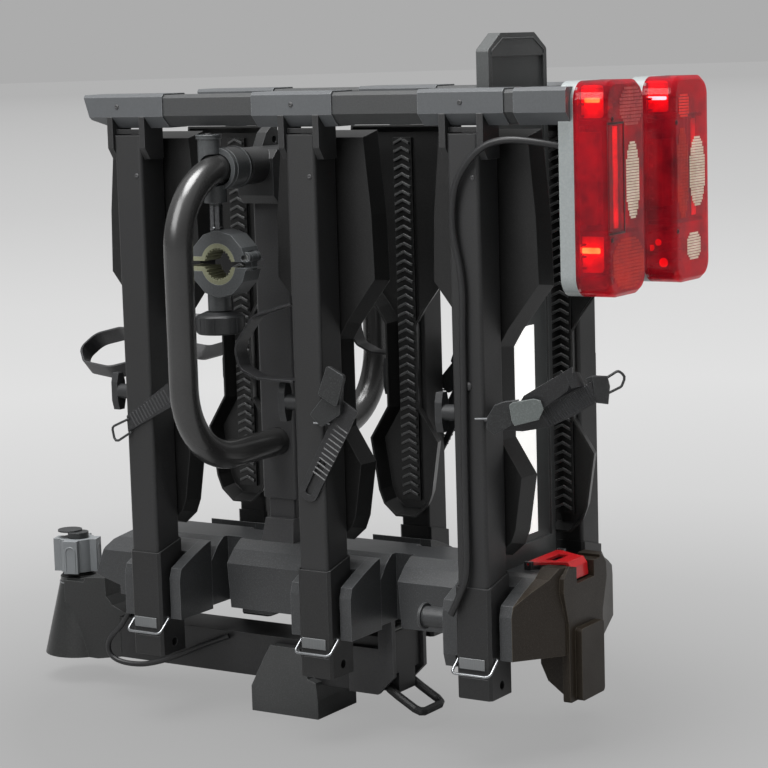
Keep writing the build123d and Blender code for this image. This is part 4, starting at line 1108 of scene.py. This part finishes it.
@dataclass
class Wing(Side):
    """Soft and repeated details of one wing."""

    arm_face: float = 120.0
    bar_face: float = 121.5
    rung_y: float = 74.4
    rung_span: Pair = (232.0, 614.0)
    rung_pitch: float = 9.0
    bail_half: float = 21.8
    bail_radius: float = 1.4
    strap_width: float = 20.0
    strap_thick: float = 2.2
    tail_faces: Pair = (120.1, 122.3)
    slot_half: float = 4.2
    slot_top: float = 48.0

    def build(self) -> None:
        """Make every piece of the wing."""
        self.bails()
        self.straps()
        self.rungs()
        self.screws()
        self.pins()

    def bails(self) -> None:
        """Bend the three wire bails."""
        shape = Shape()
        half = self.bail_half
        for x in STATIONS:
            corners = [
                (x - 14.75, 111, 114), (x - half, 111, 114), (x - half, 129, 100), (x + half, 129, 100),
                (x + half, 111, 114), (x + 14.75, 111, 114),
            ]
            shape.tube(bent(self.flip(corners), [1.5, 5, 5, 1.5], 5), self.bail_radius, 10)
        bails = self.name + "_bails"
        shape.piece(self.name + "_wire_bails", WIRE, bails, (bails,))

    def straps(self) -> None:
        """Make the toothed straps and their tails, as one piece."""
        shape = Shape()
        self._loops(shape)
        self._tails(shape)
        if self.near:
            self._slanting_tail(shape)
        else:
            self._hanging_tail(shape)
        straps = (self.name + "_straps",)
        shape.piece(self.name + "_strap_bands", STRAP, self.body, straps)

    def _loops(self, shape: Shape) -> None:
        """Bend the front and the middle loop."""
        lane = 70.0
        front = [
            (-182.1, lane, 412), (-225, lane - 10, 414), (-258, lane - 8, 406), (-272, lane + 2, 391),
            (-258, lane + 14, 378), (-222, lane + 16, 374), (-182.1, lane + 2, 384),
        ]
        outer = 110.0
        middle = [
            (39, outer, 461), (-8, outer, 447), (-34, outer, 414), (-27, outer, 391), (-6, outer, 382),
            (39, outer, 381),
        ]
        for corners, radii, across in (
            (front, [24, 24, 9, 9, 24], (0.0, 0.7 * self.side, 0.714)),
            (middle, [24, 20, 12, 16], (0.0, 1.0, 0.0)),
        ):
            path = bent(self.flip(corners), radii, 8)
            shape.ribbon(path, Vector(across), self.strap_width, self.strap_thick)

    def _tails(self, shape: Shape) -> None:
        """Lay the front tail and the slotted middle tail flat on their arms."""
        top = self.tail_faces[1]
        front = [(-119.5, 372), (-116.5, 347), (-175.5, 317), (-176.5, 334)]
        shape.prism(front, Axis.Y, *self.tail_faces, self.mirror)
        self._slotted_tail(shape, (41.5, 266), (99.0, 366.0), 22.0)
        self._cross_teeth(shape, (-122, 358), (-168, 329.5), 15, 13, top, self.mirror)
        self._cross_teeth(shape, (98, 336), (69, 286), 17, 11, top, self.mirror)

    def _hanging_tail(self, shape: Shape) -> None:
        """Hang the rear tail straight down its arm."""
        half = 13.5
        outline = [(-half, 386), (half, 386), (half, 252), (0, 244), (-half, 252)]
        shape.prism([(REAR_X + x, z) for x, z in outline], Axis.Y, *self.tail_faces, self.mirror)
        self._cross_teeth(shape, (REAR_X, 336), (REAR_X, 256), 22, 20, self.tail_faces[1], self.mirror)

    def _slanting_tail(self, shape: Shape) -> None:
        """Run the rear tail from its arm to the tray: toothed band, plain cover and root."""
        along = Vector((107, -43, 0)).normalized()
        out = Vector((43, 107, 0)).normalized()
        place = Matrix((along, out, Vector((0, 0, 1)))).transposed().to_4x4()
        place.translation = Vector((265, 115, 0))
        place = self.mirror @ place
        thick = self.strap_thick
        band = [
            (8, 345), (27, 351), (59, 370), (101.5, 392), (104.5, 371), (86, 360), (60.7, 348), (33.7, 343.5),
        ]
        shape.prism(band, Axis.Y, 0, thick, place)
        plain = [(20, 353), (36, 379), (83.5, 407), (84, 397), (78, 383.5), (56, 367.6)]
        shape.prism(plain, Axis.Y, 2 * thick, 3 * thick, place)
        self._cross_teeth(shape, (56, 356), (101, 381), 17, 20, thick, place)
        root = [(341, 91, 393), (349, 87, 395), (349, 76, 392), (300, 80, 367), (266.5, 90, 352)]
        shape.ribbon(bent(self.flip(root), [4, 4, 24], 6), Vector((-0.41, 0, 0.91)), 15.0, thick)

    def _slotted_tail(self, shape: Shape, foot: Pair, head: Pair, width: float) -> None:
        """Make a flat tail with a round end and a long slot.

        Args:
            shape: Mesh to add it to.
            foot: Lower end of its left edge, as X and Z.
            head: Upper end of that edge.
            width: Width of the tail.
        """
        a, b = Vector(foot), Vector(head)
        run = (b - a).normalized()
        side = Vector((run.y, -run.x))
        length = (b - a).length
        half, slot, end, top = width / 2, self.slot_half, 9.0, self.slot_top

        def add(outline: list[Pair]) -> None:
            """Add an outline that is given across and along the tail."""
            spots = [a + side * across + run * up for across, up in outline]
            shape.prism([(at.x, at.y) for at in spots], Axis.Y, *self.tail_faces, self.mirror)

        arc = [math.pi * k / 8 for k in range(9)]
        rail = half - slot
        for start in (0.0, width - rail):
            add([(start, end), (start + rail, end), (start + rail, top), (start, top)])
        foot_end = [(half + half * math.cos(t), end - end * math.sin(t)) for t in arc]
        notch = [(half - slot * math.cos(t), end - slot * 0.6 * math.sin(t)) for t in arc]
        add(foot_end[::-1] + notch[::-1])
        add([(0.0, top), (width, top), (width, length), (0.0, length)])

    @staticmethod
    def _cross_teeth(
        shape: Shape, start: Pair, end: Pair, width: float, count: int, level: float, place: Matrix
    ) -> None:
        """Set ratchet teeth across a flat tail in an XZ plane.

        Args:
            shape: Mesh to add them to.
            start: Middle of the first tooth, as X and Z.
            end: Middle of the last tooth.
            width: Length of each tooth, across the tail.
            count: Number of teeth.
            level: Y of the tail's outer face.
            place: Placement of the tail.
        """
        a, b = Vector((start[0], 0, start[1])), Vector((end[0], 0, end[1]))
        run = (b - a).normalized()
        out = Vector((0, 1, 0))
        across = run.cross(out)
        section = [(-1.3, -0.2), (0.8, -0.2), (0.4, 0.8), (-0.2, 0.8)]
        for k in range(count):
            tooth = Matrix((run, across, out)).transposed().to_4x4()
            tooth.translation = a.lerp(b, k / (count - 1)) + out * level
            shape.prism(section, Axis.Y, -width / 2, width / 2, place @ tooth)

    def rungs(self) -> None:
        """Set the chevron rungs up each tray's strap ladder."""
        low, high = self.rung_span
        count = round((high - low) / self.rung_pitch)
        chevron = [(-9.5, -1.2), (0, 3.2), (9.5, -1.2), (9.5, 1.6), (0, 6.0), (-9.5, 1.6)]
        for place, x in zip(("front", "middle", "rear"), STATIONS):
            shape = Shape()
            shape.prism(chevron, Axis.Y, 0.0, -self.side * 2.6)
            start, end = self.flip([(x, self.rung_y, low), (x, self.rung_y, high)])
            name = f"{self.name}_{place}_rungs"
            # The rungs' lighter finish is painted light on the tray's plastic
            row = spaced_row(name, shape.item("chevron"), start, end, count, RUNG_PAINTED_LIT)
            dress(row, RUNG_PAINTED_LIT, self.body)

    def screws(self) -> None:
        """Set the screws of the bar and the arms, and the rear arm's rivet."""
        screw = [(2.6, -0.3), (2.6, 0.5), (2.0, 0.95), (1.0, 1.05), (0.9, 0.5)]
        spots = [(x, self.bar_face, 662.0) for x in (-172.0, 49.0, 245.0)]
        spots += [(x + 11, self.arm_face, 590.0) for x in STATIONS]
        self._heads("_screws", "screw", screw, 14, spots)
        dome = [(4.4, -0.3), (4.3, 0.6), (3.4, 1.7), (1.8, 2.4), (0.0001, 2.6)]
        self._heads("_rivet", "dome", dome, 18, [(REAR_X + 0.5, self.arm_face, 387.0)])

    def _heads(self, ending: str, label: str, profile: list[Pair], sides: int, spots: list[Point]) -> None:
        """Set turned heads on the outer faces of the wing.

        Args:
            ending: Ending of the piece's name.
            label: Name of one head.
            profile: Profile of a head.
            sides: Sides of a head.
            spots: Places, drawn on +Y.
        """
        shape = Shape()
        shape.turned(profile, Matrix.Identity(4), sides)
        way = (0.0, float(self.side), 0.0)
        places = [(spot, way) for spot in self.flip(spots)]
        field = fasteners(self.name + ending, shape.item(label), places, STEEL)
        dress(field, STEEL, self.body)

    def pins(self) -> None:
        """Stick the short wire pins out of the buckles."""
        shape = Shape()
        ends = [((66.0, 124.2, 341.0), (86.0, 124.2, 341.6))]
        if self.near:
            ends.append(((256.0, 125.5, 356.5), (279.0, 117.0, 357.0)))
        for start, end in ends:
            shape.tube([Vector(p) for p in self.flip([start, end])], 1.0, 8)
        shape.piece(self.name + "_buckle_pins", WIRE, self.body)


@dataclass(frozen=True)
class SideLight:
    """Lit window on the side of a lamp that faces -Y: a soft halo behind a bright core."""

    label: str
    halo: GlowFinish
    x: Pair
    z: Pair
    core_z: Pair
    inset: float


@dataclass(frozen=True)
class Field:
    """Ellipse of small prisms on the front of a lens, centred at y and z."""

    label: str
    y: float
    z: float
    half: Pair
    pitch: float
    finish: ClearFinish


NEAR_LIGHTS = (
    SideLight("high", NEAR_HIGH_HALO, (367, 390), (645, 676), (659.5, 664.0), 3.5),
    SideLight("low", NEAR_LOW_HALO, (362, 388), (500, 536), (518.0, 523.5), 3.5),
)
FAR_LIGHTS = (SideLight("high", FAR_HALO, (362, 387), (645, 676), (657.0, 660.5), 1.5),)
NEAR_FIELDS = (
    Field("clear_panel", 60.5, 585.0, (15.0, 38.0), 2.6, MIRROR),
    Field("high_comb", 62.0, 655.0, (26.0, 20.0), 3.1, COMB),
    Field("low_comb", 72.0, 507.0, (34.0, 26.0), 3.1, LOW_COMB),
)
FAR_FIELDS = (
    Field("clear_panel", 83.5, 585.0, (19.0, 36.0), 2.6, MIRROR),
    Field("low_reflector", 74.0, 511.0, (17.0, 15.0), 2.6, MIRROR),
    Field("high_reflector", 54.0, 651.0, (13.0, 13.0), 2.6, RUBY),
    Field("middle_comb", 50.0, 585.0, (14.0, 46.0), 3.1, LOW_COMB),
)


@dataclass
class Lamp(Side):
    """Inside and front details of one rear lamp."""

    back_x: float = 363.0
    plate_x: float = 365.5
    carrier_x: float = 366.0
    bar_x: Pair = (391.5, 393.0)
    slot_x: Pair = (397.4, 398.0)

    def build(self) -> None:
        """Make the reflector, lights and lens panels."""
        self.core()
        self.side_lights()
        self.light_bar()
        if self.near:
            self.slot_frame()
        self.panels()

    def _plate(self, shape: Shape, y: Pair, z: Pair, x: Pair) -> None:
        """Add a plate between two levels of X, drawn on +Y."""
        outline = [(y[0], z[0]), (y[1], z[0]), (y[1], z[1]), (y[0], z[1])]
        shape.prism(outline, Axis.X, *x, self.mirror)

    def core(self) -> None:
        """Make the stepped reflector and the dark carrier inside the lens."""
        back = Shape()
        self._plate(back, (36, 109), (482, 674), (self.back_x, self.plate_x))
        self._plate(back, (96, 107.5), (545, 632), (self.plate_x, 384.0))
        self._plate(back, (40, 66), (552, 618), (self.plate_x, 380.0))
        for z in range(492, 668, 11):
            self._plate(back, (38, 106), (z, z + 2.4), (self.plate_x, 370.0))
        back.piece(self.name + "_lamp_core", LAMP_CORE, self.body, (), 0.5)
        dark = Shape()
        for z in ((534.5, 538.5), (639.0, 643.0)):
            self._plate(dark, (36, 109), z, (self.carrier_x, 391.0))
        for y in (78.0, 94.5, 70.0):
            self._plate(dark, (y, y + 1.8), (538, 640), (self.carrier_x, 390.0))
        dark.piece(self.name + "_lamp_carrier", LAMP_DARK, self.body, (), 0.3)

    def side_lights(self) -> None:
        """Make the lit windows, and the small red lights of the far lamp."""
        core = Shape()
        level, step = (104.0, 0.6) if self.near else (41.2, -0.6)
        for light in NEAR_LIGHTS if self.near else FAR_LIGHTS:
            halo = Shape()
            outline = self._rounded(*light.x, *light.z, 4.0)
            halo.prism(outline, Axis.Y, *sorted((level, level - step)), self.mirror)
            halo.piece(f"{self.name}_{light.label}_halo", light.halo, self.body)
            lit = self._rounded(light.x[0] + light.inset, light.x[1] - light.inset, *light.core_z, 1.4)
            core.prism(lit, Axis.Y, *sorted((level, level + step)), self.mirror)
        if not self.near:
            small = Shape()
            for x, z, r in ((366.5, 511.5, 3.6), (374.5, 516.5, 3.2), (380.0, 496.5, 4.6)):
                outline = self._rounded(x - r, x + r, z - r, z + r, 0.9 * r)
                small.prism(outline, Axis.Y, 40.6, level, self.mirror)
            small.piece(self.name + "_small_lights", HALO, self.body)
        core.piece(self.name + "_side_lights", AMBER if self.near else STREAK, self.body)

    def light_bar(self) -> None:
        """Stand the lit bar behind the lens front."""
        bar = Shape()
        self._plate(bar, (82, 90), (541, 637), self.bar_x)
        bar.piece(self.name + "_light_bar", GLOW, self.body, (), 0.5)

    def slot_frame(self) -> None:
        """Frame the slot of the light bar on the lens front."""
        edges = Shape()
        for y in ((78, 80), (111.5, 112)):
            self._plate(edges, y, (537, 640), self.slot_x)
        for z in ((639, 641), (536, 538)):
            self._plate(edges, (78, 112), z, self.slot_x)
        edges.piece(self.name + "_slot_frame", LAMP_DARK, self.body, (), 0.2)

    @staticmethod
    def _rounded(x0: float, x1: float, z0: float, z1: float, radius: float) -> list[Pair]:
        """Return a rectangle with round corners."""
        spots = []
        for x, z, start in (
            (x1 - radius, z1 - radius, 0), (x0 + radius, z1 - radius, 90), (x0 + radius, z0 + radius, 180),
            (x1 - radius, z0 + radius, 270),
        ):
            for k in range(5):
                angle = math.radians(start + 22.5 * k)
                spots.append((x + radius * math.cos(angle), z + radius * math.sin(angle)))
        return spots

    def panels(self) -> None:
        """Set the prism fields and screws on the lens front."""
        for field in NEAR_FIELDS if self.near else FAR_FIELDS:
            self._field(field)
        shape = Shape()
        shape.turned([(2.4, -0.2), (2.4, 0.4), (1.6, 0.6), (0.8, 0.2)], Matrix.Identity(4), 14)
        places = ((101, 644), (105, 531)) if self.near else ((37, 635), (38, 528))
        spots = [((LENS_FRONT_X, self.side * y, float(z)), (1.0, 0.0, 0.0)) for y, z in places]
        screws = fasteners(self.name + "_lens_screws", shape.item("screw"), spots, LAMP_DARK)
        dress(screws, LAMP_DARK, self.body)

    def _field(self, field: Field) -> None:
        """Fill one field with flat little prisms."""
        shape = Shape()
        size = 0.41 * field.pitch
        shape.prism([(-size, -size), (size, -size), (size, size), (-size, size)], Axis.Z, 0.0, 0.35)
        centre = (LENS_FRONT_X + 0.1, self.side * field.y, field.z)
        name = f"{self.name}_{field.label}"
        prisms = comb(name, shape.item("prism"), field.half, field.pitch, centre, field.finish)
        dress(prisms, field.finish, self.body)


@dataclass
class Clamp:
    """Small parts of the bike clamp."""

    x: float = -58.25
    y: float = -108.0
    knob_z: float = 436.0
    grip_ring: float = 24.6
    jaw_x: float = -48.25
    jaw_z: float = 499.5
    bore: float = 17.0
    collar_z: float = 597.0
    collar_ring: float = 21.6
    cap: Point = (-61.75, -111.0, 631.6)
    cap_ring: float = 13.2
    rim: float = 0.9

    def build(self) -> None:
        """Make the grips of the knob, the chromed neck, the collar's trim and the liner teeth."""
        self.grips()
        self.neck()
        self.rims()
        self.cap_screw()
        self.teeth("upper_teeth", 1, "clamp")
        self.teeth("lower_teeth", -1, "lower_jaw")

    def grips(self) -> None:
        """Set wide shallow grips round the clamp knob."""
        shape = Shape()
        outline = [(-3.0, -5.2), (0.3, -5.0), (1.1, -3.2), (1.1, 3.2), (0.3, 5.0), (-3.0, 5.2)]
        shape.prism(outline, Axis.Z, -8.0, 8.0)
        centre = (self.x, self.y, self.knob_z)
        grips = ring("clamp_grips", shape.item("grip"), centre, self.grip_ring, 9, CAP)
        dress(grips, CAP, "clamp_knob")

    def neck(self) -> None:
        """Sleeve the neck in bright steel, between the jaw and the collar."""
        shape = Shape()
        profile = [(6.75, 534.0), (7.6, 534.0), (7.6, 536.5), (7.1, 537.0), (7.1, 559.0), (6.75, 559.0)]
        shape.turned(profile, Matrix.Translation((self.x, self.y, 0)), 32)
        shape.piece("clamp_neck_sleeve", CHROME, "clamp")

    def rims(self) -> None:
        """Run a raised rim round each end of the collar and round its cap."""
        shape = Shape()
        r = self.collar_ring
        for y in (-81.5, -104.0):
            spots = [(HOOP_X + r * math.cos(t), y, self.collar_z + r * math.sin(t)) for t in whole_turn(44)]
            shape.tube([Vector(spot) for spot in spots], self.rim, 8, True)
        (x, y, z), r = self.cap, self.cap_ring
        spots = [(x + r * math.cos(t), y + r * math.sin(t), z) for t in whole_turn(36)]
        shape.tube([Vector(spot) for spot in spots], self.rim, 8, True)
        shape.piece("collar_rims", CLAMP, "platform")

    def cap_screw(self) -> None:
        """Set a screw on top of the collar's cap."""
        shape = Shape()
        profile = [(4.2, -0.3), (4.2, 1.6), (3.4, 2.2), (2.0, 2.2), (1.9, 0.8)]
        shape.turned(profile, Matrix.Identity(4), 18)
        field = fasteners("collar_screw", shape.item("screw"), [(self.cap, (0.0, 0.0, 1.0))], STEEL)
        dress(field, STEEL, "platform")

    def teeth(self, name: str, sign: int, body: str) -> None:
        """Cut gripping teeth into one half of the clamp's bore.

        Args:
            name: Name of the piece.
            sign: 1 for the upper half, -1 for the lower one.
            body: CAD body that it rides on.
        """
        shape = Shape()
        for k in range(11):
            angle = sign * math.radians(22 + 13.6 * k)
            out = Vector((math.cos(angle), 0, math.sin(angle)))
            along = Vector((-math.sin(angle), 0, math.cos(angle)))
            place = Matrix((along, Vector((0, 1, 0)), out)).transposed().to_4x4()
            place.translation = Vector((self.jaw_x, self.y, self.jaw_z)) + out * self.bore
            shape.prism([(-1.7, 0.4), (1.7, 0.4), (0, -1.9)], Axis.Y, -13.6, 13.6, place)
        shape.piece(name, LINER, body)


@dataclass
class Board:
    """Ridge that follows the clipped top of the number board."""

    face_x: float = 242.5
    radius: float = 0.9

    def build(self) -> None:
        """Run the ridge."""
        shape = Shape()
        half = [(53.0, 706.0), (53.0, 709.5), (31.5, 721.5)]
        outline = [(-y, z) for y, z in half] + half[::-1]
        shape.tube([Vector((self.face_x, y, z)) for y, z in outline], self.radius, 8)
        shape.piece("board_ridge", BOARD, "board")


@dataclass
class Coupling:
    """Small parts of the ball coupling."""

    x: float = -355.5
    ring_radius: float = 21.6
    ring_z: float = 112.6
    arch_face: float = 26.0
    arch_radius: float = 5.6
    arch_z: Pair = (128.0, 150.5)

    def build(self) -> None:
        """Make the rubber boot, the bright ring on the bell and the knob's arches."""
        self.boot()
        self.bell_ring()
        self.arches()

    def boot(self) -> None:
        """Stack the folds of the rubber boot under the knob."""
        boot = Shape()
        profile = [
            (8, 118.6), (18.5, 118.8), (20, 120), (17, 121.2), (18.2, 122.2), (15.5, 123.2), (14, 124.4),
            (8, 124.6),
        ]
        boot.turned(profile, Matrix.Translation((self.x, 0, 0)), 40)
        boot.piece("coupling_boot", RUBBER, "base")

    def bell_ring(self) -> None:
        """Lay the bright ring round the top of the bell."""
        shape = Shape()
        r = self.ring_radius
        spots = [(self.x + r * math.cos(t), r * math.sin(t), self.ring_z) for t in whole_turn(48)]
        shape.tube([Vector(spot) for spot in spots], 0.9, 8, True)
        shape.piece("bell_ring", WIRE, "base")

    def arches(self) -> None:
        """Frame an arched hollow on each lobe of the turning knob."""
        shape = Shape()
        r, (low, high) = self.arch_radius, self.arch_z
        half_turn = (math.pi * k / 10 for k in range(11))
        outline = [(r, low)] + [(r * math.cos(t), high + r * math.sin(t)) for t in half_turn] + [(-r, low)]
        for k in range(4):
            turn = Matrix.Rotation(math.radians(90 * k + 20), 4, "Z")
            place = Matrix.Translation((self.x, 0, 0)) @ turn
            shape.tube([place @ Vector((self.arch_face, y, z)) for y, z in outline], 0.8, 8)
        shape.piece("knob_arches", KNOB, "coupling_knob")


def main() -> None:
    """Build the studio and the rack."""
    logging.basicConfig(level=logging.INFO, format="%(message)s")
    Studio().build()
    Cables().build()
    Castings().build()
    Hoop().build()
    for name, side in (("near", -1), ("far", 1)):
        Wing(name, side).build()
        Lamp(name, side).build()
    Clamp().build()
    Board().build()
    Coupling().build()


if __name__ == "__main__":
    main()
